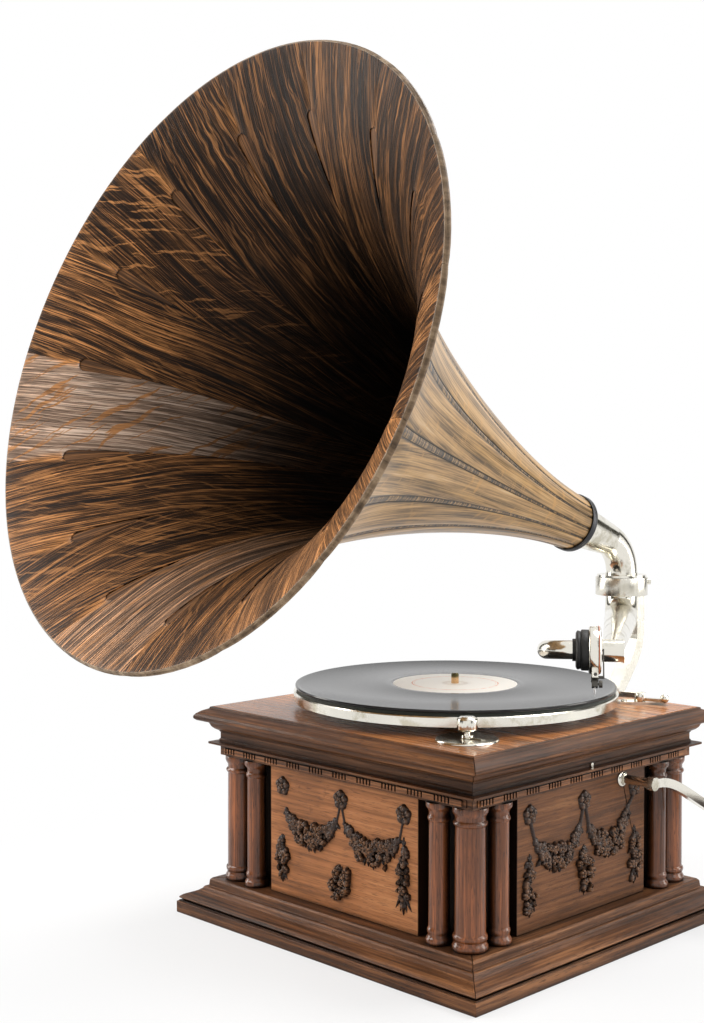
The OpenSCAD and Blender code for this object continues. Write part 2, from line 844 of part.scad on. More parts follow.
module governor_shaft() {
    color(steel)
        translate([0, governor_y, governor_z]) {
            translate([cheek_a - cheek_t, 0, 0]) rod_x(governor_shaft_r, cheek_b - cheek_a + 2 * cheek_t);
            translate([-9, 0, 0]) rod_x(governor_worm_r, 18);
            translate([governor_collar_x, 0, 0]) rod_x(6, 4);
        }
}

// Three balls, each on a leaf spring between the fixed collar and the disc
module governor_weights() {
    spring_l = disc_x - governor_collar_x - disc_play - 0.2;
    color(iron)
        translate([governor_collar_x, governor_y, governor_z])
            for (turn = [0 : 120 : 240])
                rotate([turn, 0, 0]) {
                    translate([0, -2, 6 + gap]) cube([spring_l, 4, 0.6]);
                    translate([spring_l / 2, 0, 6.6 + gap])
                        rotate_extrude($fn = fine_fn)
                            polygon([[0, 0], [2, 0], [3.8, 1.2], [4.5, 3], [3.8, 4.8], [2, 6], [0, 6]]);
                }
}

module governor_disc() {
    color(steel)
        translate([disc_x, governor_y, governor_z])
            difference() {
                union() {
                    rod_x(disc_r, disc_t);
                    rod_x(5, disc_t + 6);
                }
                translate([-1, 0, 0]) rod_x(governor_shaft_r + running, disc_t + 10);
            }
}

// The lever between the speed knob's cam and the pad on the spring side of the governor disc
module governor_brake() {
    pad_y = governor_y - disc_r + 5;
    pad_x = disc_x - disc_play;
    tip = [dial_c - cam_r - cam_offset - gap - 3, -dial_c];
    color(steel) {
        translate([lever_pivot[0], lever_pivot[1], lever_z]) {
            cylinder(r = 4, h = lever_t, $fn = fine_fn);
            cylinder(r = pivot_r, h = bed_z - lever_z + bed_t, $fn = fine_fn);
        }
        translate([0, 0, lever_z])
            linear_extrude(height = lever_t) {
                polygon(strip([lever_pivot, tip], 4));
                polygon(strip([lever_pivot, [pad_x - 1.5, pad_y]], 3));
            }
        translate([tip[0], tip[1], lever_z]) cylinder(r = 3, h = lever_t, $fn = fine_fn);
        translate([pad_x - 3, pad_y - 1.5, governor_z - 2]) cube([3, 3, lever_z - governor_z + 3]);
    }
}

// Turntable

module platter() {
    color(nickel)
        difference() {
            rotate_extrude($fn = round_fn)
                polygon([
                    [pin_r + running, platter_z], [platter_r - 1, platter_z], [platter_r, platter_z - 1],
                    [platter_r, rim_z + 0.8], [platter_r - 0.8, rim_z], [platter_r - 3, rim_z],
                    [platter_r - 3, platter_z - 4], [platter_r - 5, platter_z - 3], [18, platter_z - 3],
                    [12, rim_z - 1], [shaft_r + running, rim_z - 1], [shaft_r + running, platter_z - 2.8],
                    [pin_r + running, platter_z - 2.8]
                ]);
        }
}

module platter_felt() {
    color([0.13, 0.20, 0.13])
        translate([0, 0, platter_z]) ring(record_r - 1, pin_r + 0.4, felt_t);
}

module record() {
    color(black)
        rotate_extrude($fn = round_fn)
            polygon([
                [pin_r + running, felt_z], [record_r - 0.6, felt_z], [record_r, felt_z + 0.6],
                [record_r, record_z - 0.5], [record_r - 0.8, record_z], [pin_r + running, record_z]
            ]);
}

// Controls on the top board

module speed_dial() {
    color(nickel)
        translate([dial_c, -dial_c, top_z])
            difference() {
                cylinder(r1 = dial_r, r2 = dial_r - 0.8, h = dial_t, $fn = round_fn);
                translate([0, 0, -1]) cylinder(r = knob_shaft_r + running, h = dial_t + 2, $fn = fine_fn);
            }
}

// The knob, its pointer, its shaft and the cam that its shaft carries below the board
module speed_knob() {
    color(nickel)
        translate([dial_c, -dial_c, 0]) {
            translate([0, 0, lever_z - 2])
                cylinder(r = knob_shaft_r, h = knob_z - lever_z + 2.5, $fn = fine_fn);
            translate([-cam_offset, 0, lever_z - 2]) cylinder(r = cam_r, h = lever_t + 4, $fn = fine_fn);
            translate([0, 0, top_z + dial_t + gap]) cylinder(r = 5, h = 2.4, $fn = fine_fn);
            translate([0, 0, knob_z])
                rotate_extrude($fn = fine_fn)
                    polygon([
                        [0, 0], [knob_r - 1.5, 0], [knob_r, 1.5], [knob_r, knob_h - 2.5],
                        [knob_r - 1.2, knob_h - 1], [knob_r - 3, knob_h], [0, knob_h]
                    ]);
            translate([0, 0, top_z + dial_t + gap])
                linear_extrude(height = 0.9)
                    polygon([[0, -2], [16, -1.3], [20, 0], [16, 1.3], [0, 2]]);
        }
}

module at_brake_screws(z) {
    reach = brake_l / 2 - 5;
    for (s = [-1, 1])
        translate([brake_c[0] + s * reach * cos(brake_turn), brake_c[1] + s * reach * sin(brake_turn), z])
            children();
}

// The brake's base plate with its two screws
module brake_plate() {
    color(nickel) {
        difference() {
            translate([brake_c[0], brake_c[1], top_z])
                rotate([0, 0, brake_turn])
                    translate([-brake_l / 2, -brake_w / 2, 0]) cube([brake_l, brake_w, brake_t]);
            translate([brake_pivot[0], brake_pivot[1], top_z - 1])
                cylinder(r = brake_pin_r + running, h = brake_t + 2, $fn = fine_fn);
        }
        at_brake_screws(top_z - 9) cylinder(r = brake_screw_r, h = 10, $fn = fine_fn);
        at_brake_screws(top_z + brake_t - 0.5) cylinder(r1 = 3.4, r2 = 2, h = 2.2, $fn = fine_fn);
    }
}

// The lever that turns on the plate, with a ball to push at its outer end
module brake_lever() {
    pad_c = (platter_r + pad_gap + pad_t + 2) * [cos(pad_a), sin(pad_a)];
    ball = brake_pivot + [23, 7];
    color(nickel) {
        translate([brake_pivot[0], brake_pivot[1], board_z + 2])
            cylinder(r = brake_pin_r, h = brake_lever_z - board_z, $fn = fine_fn);
        translate([brake_pivot[0], brake_pivot[1], brake_lever_z])
            cylinder(r = 5.5, h = brake_arm_h + 3, $fn = fine_fn);
        translate([0, 0, brake_lever_z + 3])
            linear_extrude(height = brake_arm_h) polygon(strip([pad_c, brake_pivot], 7));
        translate([0, 0, brake_lever_z + 0.5])
            linear_extrude(height = 3) polygon(strip([brake_pivot, ball], 5));
        translate([ball[0], ball[1], brake_lever_z + 4]) sphere(r = 4.2, $fn = fine_fn);
        rotate([0, 0, pad_a])
            translate([platter_r + pad_gap + pad_t, -9, rim_z + 0.5]) cube([3, 18, 6]);
    }
}

module brake_pad() {
    color([0.35, 0.2, 0.12])
        rotate([0, 0, pad_a])
            translate([platter_r + pad_gap, -7, rim_z + 1]) cube([pad_t, 14, 5]);
}

// Back bracket

module bracket_screw_places() {
    for (s = [-1, 1], z = [foot_z + 12, foot_z + foot_h - 12])
        translate([s * (foot_w / 2 - 9), foot_y + foot_t + 1, z]) rotate([90, 0, 0]) children();
}

module bracket() {
    top = collar_z + collar_h;
    knee = collar_z - 60;
    diagonal = [foot_y + 36, foot_z + 54];
    path = concat(
        [[foot_y + 2, foot_z + 30]],
        curve([[foot_y + foot_t, foot_z + 30], [foot_y + 20, foot_z + 30], [foot_y + 24, foot_z + 38], diagonal], 6),
        curve([[leg_y - 27, knee - 31], [leg_y - 10, knee - 11], [leg_y - 2, knee - 2], [leg_y, knee + 16]], 8),
        [[leg_y, top]]);
    color(nickel)
        difference() {
            union() {
                translate([-leg_w / 2, 0, 0])
                    rotate([90, 0, 90]) linear_extrude(height = leg_w) polygon(strip(path, leg_t));
                translate([-foot_w / 2, foot_y, foot_z]) cube([foot_w, foot_t, foot_h]);
                translate([0, collar_y, collar_z]) cylinder(r = collar_r, h = collar_h, $fn = round_fn);
            }
            translate([0, collar_y, collar_z - 1])
                cylinder(r = arm_big_r + running, h = shoulder_h + 1, $fn = round_fn);
            translate([0, collar_y, collar_z + shoulder_h])
                cylinder(r = collar_bore_r + running, h = collar_h, $fn = round_fn);
            bracket_screw_places() cylinder(r = bracket_screw_r + running, h = 30, $fn = fine_fn);
            translate([0, collar_y, 0]) rotate([0, 0, 45])
                translate([collar_bore_r - 1, 0, top - 5]) rod_x(2 + running, 12);
        }
}

module bracket_screws() {
    color(nickel)
        for (s = [-1, 1], z = [foot_z + 12, foot_z + foot_h - 12])
            translate([s * (foot_w / 2 - 9), foot_y + foot_t, z]) {
                rotate([90, 0, 0]) cylinder(r = bracket_screw_r, h = foot_t + panel_t - 3, $fn = fine_fn);
                rotate([-90, 0, 0]) cylinder(r1 = 5, r2 = 3, h = 2.4, $fn = fine_fn);
            }
}

module collar_screw() {
    color(steel)
        translate([0, collar_y, collar_z + collar_h - 5])
            rotate([0, 0, 45])
                translate([collar_bore_r + gap, 0, 0]) {
                    rod_x(2, collar_r - collar_bore_r + 2);
                    translate([collar_r - collar_bore_r + 0.1, 0, 0]) rod_x(3.4, 3);
                }
}

// Horn

// Places its children at the neck's bend, turned with the horn
module at_bend() {
    translate([0, collar_y, neck_z]) rotate([0, 0, horn_yaw]) translate([0, -neck_bend_r, 0]) children();
}

// Places its children with +Z along the horn's axis and the origin at the throat
module at_throat() {
    at_bend() rotate([bend_angle, 0, 0]) translate([0, neck_bend_r, neck_l]) children();
}

// The solid that the neck's tube follows: radius r round the bend, between two thicker ends,
// and end_r in the horn's throat
module neck_rod(r, end_r, start_z, plug_l) {
    translate([0, collar_y, start_z])
        cylinder(r = r + neck_step, h = neck_z + 0.5 - start_z, $fn = round_fn);
    at_bend() rotate([90, 0, 90]) rod_bend(neck_bend_r, r, bend_angle);
    at_throat() {
        translate([0, 0, -neck_l - 0.5])
            cylinder(r1 = r + neck_step, r2 = end_r, h = neck_l - 7.5, $fn = round_fn);
        translate([0, 0, -8]) cylinder(r = end_r, h = 8 + plug_l, $fn = round_fn);
    }
}

module horn_elbow() {
    spigot_z = collar_z + shoulder_h + lip_h + gap;
    color(nickel)
        difference() {
            union() {
                translate([0, collar_y, spigot_z])
                    cylinder(r = collar_bore_r, h = elbow_z - spigot_z + 0.2, $fn = round_fn);
                translate([0, collar_y, elbow_z])
                    cylinder(r = elbow_flange_r, h = elbow_flange_t, $fn = round_fn);
                neck_rod(neck_r, neck_end_r, elbow_z + 1, 8);
            }
            neck_rod(neck_r - tube_t, neck_end_r - tube_t, spigot_z - 1, 9);
        }
}

// The dark iron ring that holds the staves' narrow ends together
module horn_ring() {
    color(iron)
        at_throat()
            rotate_extrude($fn = round_fn)
                polygon([
                    [neck_end_r + running, -3], [ring_r - 1, -3], [ring_r, -2], [ring_r, ring_l],
                    [throat_r + 0.5, ring_l], [throat_r + 0.5, 0], [neck_end_r + running, 0]
                ]);
}

// Outer radius of the horn at share u of its length, and its slope
function horn_r(u) = throat_r
    + (mouth_r - throat_r) * (flare_share * pow(u, gentle_p) + (1 - flare_share) * pow(u, curl_p));
function horn_slope(u) = (mouth_r - throat_r) / horn_l
    * (flare_share * gentle_p * pow(u, gentle_p - 1) + (1 - flare_share) * curl_p * pow(u, curl_p - 1));
function wall_point(u, depth) = let (k = horn_slope(u), n = sqrt(1 + k * k))
    [horn_r(u) - depth / n, horn_l * u + depth * k / n];
function stations(u0, u1, steps) = [for (i = [0 : steps]) u0 + (u1 - u0) * i / steps];

module wall_sector(us, start, angle) {
    rotate([0, 0, start])
        rotate_extrude(angle = angle, $fn = round_fn)
            polygon(concat(
                [for (u = us) wall_point(u, 0)],
                reversed([for (u = us) wall_point(u, horn_wall)])));
}

// Each stave is as wide as its share at the rim, and narrower below where the spears lie
module horn_staves() {
    half_spear = spear_angle / 2 + seam_angle;
    rim_us = stations(spear_u, 1, 6);
    color(wood)
        at_throat()
            for (i = [0 : stave_count - 1]) {
                start = first_spear + i * stave_pitch;
                wall_sector(concat(stations(0.001, spear_u, 20), [rim_us[1]]),
                    start + half_spear, stave_pitch - 2 * half_spear);
                wall_sector(rim_us, start + seam_angle / 2, stave_pitch - seam_angle);
            }
}

// Narrow spear-shaped strips between the staves
module horn_spears() {
    color(dark_wood)
        at_throat()
            for (i = [0 : stave_count - 1])
                wall_sector(stations(0.001, spear_u - 0.001, 20),
                    first_spear + i * stave_pitch - spear_angle / 2, spear_angle);
}

// Tone arm

// Places its children on the swing axis, with -Y along the arm
module at_pivot() {
    translate([0, collar_y, 0]) rotate([0, 0, arm_yaw]) children();
}

// Places its children at the crook's joint, with +X along the joint's axis
module at_joint() {
    at_pivot() translate([0, -arm_l, joint_z]) rotate([0, 0, head_yaw]) children();
}

// Places its children on the outer leg of the crook
module at_leg() {
    at_joint()
        rotate([-crook_tilt, 0, 0]) translate([0, -crook_w, 0]) rotate([crook_tilt, 0, 0]) children();
}

// Places its children at the sound box's centre, with +X towards its face and -Z along the needle
module at_box() {
    at_leg() translate([box_x, 0, 0]) rotate([-needle_lean, 0, 0]) children();
}

// The solid that the arm's tube follows, from its top in the collar to the crook's joint
module arm_rod(big_r, small_r, top) {
    translate([0, 0, arm_bend_z]) cylinder(r = big_r, h = top - arm_bend_z, $fn = round_fn);
    translate([0, -arm_bend_r, arm_bend_z]) {
        rotate([90, 0, 90]) mirror([0, 1, 0]) rod_bend(arm_bend_r, big_r, arm_bend);
        rotate([-arm_bend, 0, 0]) translate([0, arm_bend_r, 0]) mirror([0, 0, 1])
            cylinder(r1 = big_r, r2 = small_r, h = (arm_l - arm_start_y) / cos(arm_slope), $fn = round_fn);
    }
}

module tone_arm() {
    lip_z = collar_z + shoulder_h + gap / 2;
    color(nickel)
        difference() {
            union() {
                at_pivot() {
                    arm_rod(arm_big_r, arm_small_r, lip_z + 0.5);
                    translate([0, 0, lip_z])
                        cylinder(r = collar_bore_r, h = lip_h - gap / 2, $fn = round_fn);
                }
                at_joint() {
                    translate([-sleeve_l / 2, 0, 0]) rod_x(sleeve_r, sleeve_l);
                    translate([sleeve_l / 2 - 1.4, 0, 0]) rod_x(sleeve_r + 0.8, 1.6);
                }
            }
            at_pivot() arm_rod(arm_big_r - tube_t, arm_small_r - tube_t, lip_z + 5);
            at_joint() translate([-sleeve_l / 2 - 1, 0, 0]) rod_x(crook_r + running, sleeve_l - 1);
        }
}

// The solid that the crook's tube follows: two parallel legs joined by a half turn
module crook_rod(r, back_x, front_x) {
    translate([crook_bend_x, 0, 0]) rod_x(r, back_x - crook_bend_x);
    translate([crook_bend_x, -crook_w, 0]) rod_x(r, front_x - crook_bend_x);
    translate([crook_bend_x, -crook_w / 2, 0])
        rotate([0, 0, 90]) rod_bend(crook_w / 2, r, 180);
}

module gooseneck() {
    back_end = sleeve_l / 2 - 3;
    front_end = box_x - box_t / 2 - flange_t - hub_t + 8;
    color(nickel)
        at_joint()
            rotate([-crook_tilt, 0, 0])
                difference() {
                    crook_rod(crook_r, back_end, front_end);
                    crook_rod(crook_r - tube_t, back_end + 1, front_end + 1);
                }
}

module soundbox_flange() {
    back = -box_t / 2 - flange_t;
    color(black)
        at_box()
            translate([back, 0, 0])
                rotate([0, 90, 0])
                    rotate_extrude($fn = round_fn)
                        polygon([
                            [crook_r + running, -hub_t], [crook_r + 1.6, -hub_t], [crook_r + 1.6, 0],
                            [flange_r - 3, 0], [flange_r - 1, 1.2], [flange_r - 1, 3], [flange_r - 1.8, 4],
                            [flange_r, 5.2], [flange_r, flange_t], [crook_r + running, flange_t]
                        ]);
}

module soundbox_shell() {
    half = box_t / 2;
    step = half - gasket_t;
    color(nickel)
        at_box() {
            rotate([0, 90, 0])
                rotate_extrude($fn = round_fn)
                    polygon([
                        [crook_r, -half], [box_r - 1, -half], [box_r, -half + 1], [box_r, 2.8], [seat_r, 2.8],
                        [seat_r, -gasket_t], [seat_r - 1.6, -gasket_t], [seat_r - 1.6, -half + 2], [crook_r, -half + 2]
                    ]);
            difference() {
                union() {
                    for (s = [-1, 1])
                        translate([-3, s > 0 ? ear_y : -ear_y - ear_t, trunnion_z - 3])
                            cube([5.6, ear_t, -trunnion_z + 3 - sqrt(box_r * box_r - pow(ear_y + ear_t, 2)) + 1]);
                }
                translate([0, -ear_y - ear_t - 1, trunnion_z])
                    rotate([-90, 0, 0]) cylinder(r = trunnion_r + running, h = 2 * (ear_y + ear_t + 1), $fn = fine_fn);
            }
        }
}

// The front ring that clamps the diaphragm and its gaskets
module soundbox_cover() {
    half = box_t / 2;
    color(nickel)
        at_box()
            rotate([0, 90, 0])
                rotate_extrude($fn = round_fn)
                    polygon([
                        [seat_r - 1.6, diaphragm_t + gasket_t], [seat_r - running, diaphragm_t + gasket_t],
                        [seat_r - running, 2.8 + gap / 2], [box_r, 2.8 + gap / 2], [box_r, half - 1],
                        [box_r - 1, half], [seat_r - 0.6, half], [seat_r - 1.6, half - 1]
                    ]);
}

// The mica disc between its two rubber rings
module diaphragm() {
    color([0.85, 0.62, 0.42])
        at_box()
            rotate([0, 90, 0]) {
                ring(seat_r - gap, 1, diaphragm_t);
                translate([0, 0, -gasket_t]) ring(seat_r - gap, seat_r - 1.6, gasket_t);
                translate([0, 0, diaphragm_t]) ring(seat_r - gap, seat_r - 1.6, gasket_t - 0.05);
            }
}

// The rocking bar: chuck below the pivot, thin arm up to the diaphragm's centre
module stylus_bar() {
    arm_x = box_t / 2 + 1.6;
    color(iron)
        at_box() {
            translate([0, -ear_y - ear_t + 0.2, trunnion_z])
                rotate([-90, 0, 0]) cylinder(r = trunnion_r, h = 2 * (ear_y + ear_t - 0.2), $fn = fine_fn);
            translate([-1, -1.5, trunnion_z - 1]) cube([arm_x + 2.2, 3, 1.8]);
            translate([arm_x, -1.2, trunnion_z - 1]) cube([1.2, 2.4, 2 - trunnion_z]);
            translate([diaphragm_t + 0.55, 0, 0]) rod_x(0.9, arm_x - diaphragm_t);
            difference() {
                union() {
                    translate([-3.5, -3.2, trunnion_z - 4]) cube([6.4, 6.4, 3.4]);
                    translate([-3, -3, trunnion_z - 9.5]) cube([5.4, 6, 6]);
                }
                translate([-0.3, 0, trunnion_z - 10]) cylinder(r = 0.9, h = 8, $fn = fine_fn);
                translate([-0.3, 0, trunnion_z - 6.5]) rod_x(1.2 + running, 8);
            }
        }
}

module needle() {
    color(steel)
        at_box()
            translate([-0.3, 0, -needle_reach]) {
                cylinder(r1 = 0.1, r2 = 0.85, h = 5, $fn = fine_fn);
                translate([0, 0, 5]) cylinder(r = 0.85, h = trunnion_z - 2.4 + needle_reach - 5, $fn = fine_fn);
            }
}

module needle_screw() {
    color(nickel)
        at_box()
            translate([-0.3, 0, trunnion_z - 6.5]) {
                translate([0.9 + running, 0, 0]) rod_x(1.2, 4);
                translate([3.6, 0, 0]) rod_x(3.2, 3.2);
            }
}

base_slab();
base_moulding();
carcass_walls();
panel_front();
panel_right();
panel_back();
panel_left();
carving_front();
carving_right();
carving_left();
corner_columns();
side_columns();
architrave();
bead_and_reel();
frieze();
cornice();
top_board();
side_pin();
motor_frame();
motor_screws();
spring_barrel();
mainspring();
barrel_arbor();
crank_arm();
crank_pinion();
ratchet_wheel();
pawl();
crank_handle();
crank_escutcheon();
intermediate_gear();
spindle();
spindle_gears();
governor_shaft();
governor_weights();
governor_disc();
governor_brake();
platter();
platter_felt();
record();
speed_dial();
speed_knob();
brake_plate();
brake_lever();
brake_pad();
bracket();
bracket_screws();
collar_screw();
horn_elbow();
horn_ring();
horn_staves();
horn_spears();
tone_arm();
gooseneck();
soundbox_flange();
soundbox_shell();
soundbox_cover();
diaphragm();
stylus_bar();
needle();
needle_screw();
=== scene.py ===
"""The looks of a horn phonograph, built round its CAD frame: carved panels, the spear-tip
oak horn, the record and its label, and the finish of every piece."""

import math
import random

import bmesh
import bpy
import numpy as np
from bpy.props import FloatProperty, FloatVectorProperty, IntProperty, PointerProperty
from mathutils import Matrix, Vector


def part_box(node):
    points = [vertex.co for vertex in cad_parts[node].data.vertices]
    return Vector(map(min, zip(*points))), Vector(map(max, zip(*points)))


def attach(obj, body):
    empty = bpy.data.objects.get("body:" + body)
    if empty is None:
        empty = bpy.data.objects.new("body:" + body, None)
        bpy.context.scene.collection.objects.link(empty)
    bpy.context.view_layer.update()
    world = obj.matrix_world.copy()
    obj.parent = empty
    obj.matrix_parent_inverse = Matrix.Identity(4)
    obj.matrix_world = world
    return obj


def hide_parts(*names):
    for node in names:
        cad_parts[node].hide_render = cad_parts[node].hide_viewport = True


bl_info = {
    "name": "Horn Phonograph",
    "version": (1, 0, 0),
    "blender": (4, 5, 0),
    "location": "View3D > Sidebar > Phonograph",
    "description": "Builds the carved, turned and plated looks of a horn phonograph",
    "category": "Object",
}

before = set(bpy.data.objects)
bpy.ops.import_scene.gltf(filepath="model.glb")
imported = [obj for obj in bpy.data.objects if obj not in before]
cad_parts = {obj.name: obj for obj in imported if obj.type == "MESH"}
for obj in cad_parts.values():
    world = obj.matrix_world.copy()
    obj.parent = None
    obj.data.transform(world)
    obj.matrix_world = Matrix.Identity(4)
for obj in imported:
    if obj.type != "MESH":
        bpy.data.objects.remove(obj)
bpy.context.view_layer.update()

MM = 0.001

# Where a finish changes, in metres. A pair is where the change starts and where it ends.
# Beyond the next pair, a panel's side faces are painted dark as painted shade.
PANEL_SHADED_SIDE = (0.0915, 0.0924)             # along a panel from its middle
# The platter is painted near black below the first of these heights, as painted shade.
PLATTER_SHADED_UNDERSIDE = (0.2047, 0.2053)      # heights over the table
SPINDLE_TIP = (0.2235, 0.2262)
RECORD_FACE = (0.2190, 0.2194)
GROOVES_START = (0.0645, 0.0655)          # radii on the record
GROOVES_END = (0.1462, 0.1470)
LABEL_RING, LABEL_HAIRLINE, LABEL_WEAR = 0.0405, 0.0385, 0.010
DIAL_LINE = 0.0200                        # radii on the speed dial
DIAL_SCALE_START = (0.0205, 0.0208)
DIAL_SCALE_END = (0.0242, 0.0245)
DIAL_STROKES = 60                         # in a full turn
MICA_EDGE = (0.0168, 0.0172)              # radius of the diaphragm's bare part


# --------------------------------------------------------------------------
# Values a user would change
# --------------------------------------------------------------------------


def length(name, description, default):
    return FloatProperty(name=name, description=description, default=default, min=0.0,
                         subtype="DISTANCE", unit="LENGTH")


def angle(name, description, degrees):
    return FloatProperty(name=name, description=description, default=math.radians(degrees),
                         subtype="ANGLE", unit="ROTATION")


def power(name, description, default):
    return FloatProperty(name=name, description=description, default=default, min=0.0,
                         subtype="POWER", unit="POWER")


def colour(name, description, default):
    return FloatVectorProperty(name=name, description=description, default=default, size=3,
                               min=0.0, max=1.0, subtype="COLOR")


class PhonographSizes(bpy.types.PropertyGroup):
    """Sizes of the pieces made here; the CAD frame gives all the others."""

    horn_length: length("Horn length", "Length of the wooden horn along its axis", 0.503)
    throat_radius: length("Throat radius", "Outer radius of the horn at its narrow end", 0.0284)
    mouth_radius: length("Mouth radius", "Outer radius of the horn at its rim", 0.272)
    horn_wall: length("Horn wall", "Thickness of the staves", 0.0056)
    stave_count: IntProperty(
        name="Staves", description="Number of staves in the horn", default=15, min=6)
    first_seam: angle("First seam", "Angle of the first seam between two staves", 82)
    spear_angle: angle("Spear angle", "Angle that each spear strip fills on the outside", 3)
    tip_width: length("Spear tip width", "Width of a spear's rounded tip inside the bell", 0.0125)
    tip_length: length("Spear tip length", "Length of the part that tapers to the tip", 0.078)
    label_radius: length("Label radius", "Radius of the bare paper label", 0.0585)
    carving_pitch: length("Carving pitch", "Spacing of the points of the carved relief", 0.0004)
    edge_wear: length("Edge rounding", "Rounding of the cabinet's worn edges", 0.0007)


class PhonographColours(bpy.types.PropertyGroup):
    """Main colours of the finishes, in linear light."""

    oak_dark: colour("Oak, dark", "Late wood and stain in the grain", (0.022, 0.009, 0.0045))
    oak_middle: colour("Oak, middle", "Body of the stained oak", (0.165, 0.066, 0.026))
    oak_light: colour("Oak, light", "Early wood between the streaks", (0.380, 0.165, 0.066))
    panel_dark: colour("Panel, dark", "Streaks in the applied panels", (0.150, 0.060, 0.026))
    panel_middle: colour("Panel, middle", "Body of the applied panels", (0.470, 0.185, 0.068))
    panel_light: colour("Panel, light", "Lightest tone of the panels", (0.680, 0.310, 0.125))
    board_middle: colour("Top board, middle", "Body of the top board", (0.560, 0.205, 0.056))
    board_light: colour("Top board, light", "Its lightest tone", (0.720, 0.320, 0.115))
    column: colour("Columns", "Lightest tone of the reddish columns", (0.560, 0.175, 0.055))
    carving: colour("Carving", "Stained carved ornament", (0.030, 0.014, 0.008))
    horn_dark: colour("Horn inside, dark", "Darkest grain inside the bell", (0.013, 0.006, 0.003))
    horn_light: colour("Horn inside, light", "Lightest grain in the bell", (0.330, 0.140, 0.046))
    horn_fleck: colour("Ray flecks", "Bright rays across the grain", (0.620, 0.270, 0.090))
    horn_outside: colour("Horn outside", "Golden oak of the outside", (0.500, 0.300, 0.125))
    nickel: colour("Nickel", "Plated metal", (0.800, 0.770, 0.690))
    shellac: colour("Record", "Black record compound", (0.011, 0.011, 0.012))
    label: colour("Label", "Bare paper label", (0.960, 0.920, 0.850))
    label_ring: colour("Label ring", "Thin printed ring of the label", (0.750, 0.270, 0.120))
    felt: colour("Felt", "Felt on the turntable", (0.020, 0.026, 0.018))
    gasket: colour("Gasket", "Rubber rings that hold the diaphragm", (0.700, 0.150, 0.040))


class PhonographStage(bpy.types.PropertyGroup):
    """Camera and light."""

    camera_place: FloatVectorProperty(
        name="Camera", description="Place of the camera", size=3,
        default=(0.9243, -1.0499, 0.4382), subtype="TRANSLATION", unit="LENGTH")
    camera_turn: angle("Camera turn", "Angle of the camera round the phonograph", 45.35)
    camera_drop: angle("Camera drop", "Angle that the camera looks down", 2.33)
    lens: FloatProperty(
        name="Lens", description="Focal length on a 36 mm high picture, in millimetres",
        default=52.24, min=1.0)
    key_power: power("Key light", "Power of the large soft light at the left", 30.0)
    fill_power: power("Fill light", "Power of the soft light at the right", 6.0)
    top_power: power("Top light", "Power of the soft light over the turntable", 25.0)
    sky: FloatProperty(
        name="Room light", description="Strength of the white room for diffuse light",
        default=0.47, min=0.0)


def sizes():
    return bpy.context.scene.phonograph_sizes


def tone(c, factor):
    return tuple(min(1.0, v * factor) for v in c)


def paint(name, factor=1.0):
    """One of the user's colours, darker or lighter by a factor."""
    return tone(getattr(bpy.context.scene.phonograph_colours, name), factor)


def shades(name, *stops):
    """Stops of a ramp in tones of one of the user's colours, from (place, factor) pairs."""
    return [(place, paint(name, factor)) for place, factor in stops]


# --------------------------------------------------------------------------
# Shader values written as Python expressions
# --------------------------------------------------------------------------


class Value:
    """A shader socket; arithmetic on it adds Math nodes."""

    def __init__(self, nodes, socket):
        self.nodes = nodes
        self.socket = socket

    def math(self, operation, *values):
        return self.nodes.node(
            "ShaderNodeMath", {"operation": operation}, dict(enumerate(values)))

    def __add__(self, other):
        return self.math("ADD", self, other)

    __radd__ = __add__

    def __sub__(self, other):
        return self.math("SUBTRACT", self, other)

    def __rsub__(self, other):
        return self.math("SUBTRACT", other, self)

    def __mul__(self, other):
        return self.math("MULTIPLY", self, other)

    __rmul__ = __mul__

    def __pow__(self, other):
        return self.math("POWER", self, other)

    def __mod__(self, other):
        return self.math("FLOORED_MODULO", self, other)

    def __gt__(self, other):
        return self.math("GREATER_THAN", self, other)

    def __abs__(self):
        return self.math("ABSOLUTE", self)

    def most(self, other):
        return self.math("MAXIMUM", self, other)

    def sine(self):
        return self.math("SINE", self)

    def cosine(self):
        return self.math("COSINE", self)


class Nodes:
    """The emptied node tree of a material or world, which one method fills."""

    def __init__(self, owner):
        owner.use_nodes = True
        self.tree = owner.node_tree
        self.tree.nodes.clear()

    def node(self, kind, settings=None, values=None, output=0):
        """A node of this kind, with its settings and then its inputs. Gives one output, or
        the node itself where it has none."""
        made = self.tree.nodes.new(kind)
        for key, value in (settings or {}).items():
            if key == "stops":
                ramp = made.color_ramp
                while len(ramp.elements) < len(value):
                    ramp.elements.new(0.5)
                for element, (place, shade) in zip(ramp.elements, value):
                    element.position = place
                    element.color = (*shade, 1.0)
            else:
                setattr(made, key, value)
        for key, value in (values or {}).items():
            if isinstance(value, Value):
                self.tree.links.new(value.socket, made.inputs[key])
            else:
                made.inputs[key].default_value = value
        return Value(self, made.outputs[output]) if made.outputs else made

    def seen(self):
        """1 where the camera looks, straight or by way of metal or glass, and 0 for light."""
        camera, glossy, through = (self.node("ShaderNodeLightPath", output=ray) for ray in (
            "Is Camera Ray", "Is Glossy Ray", "Is Transmission Ray"))
        return camera.most(glossy).most(through)


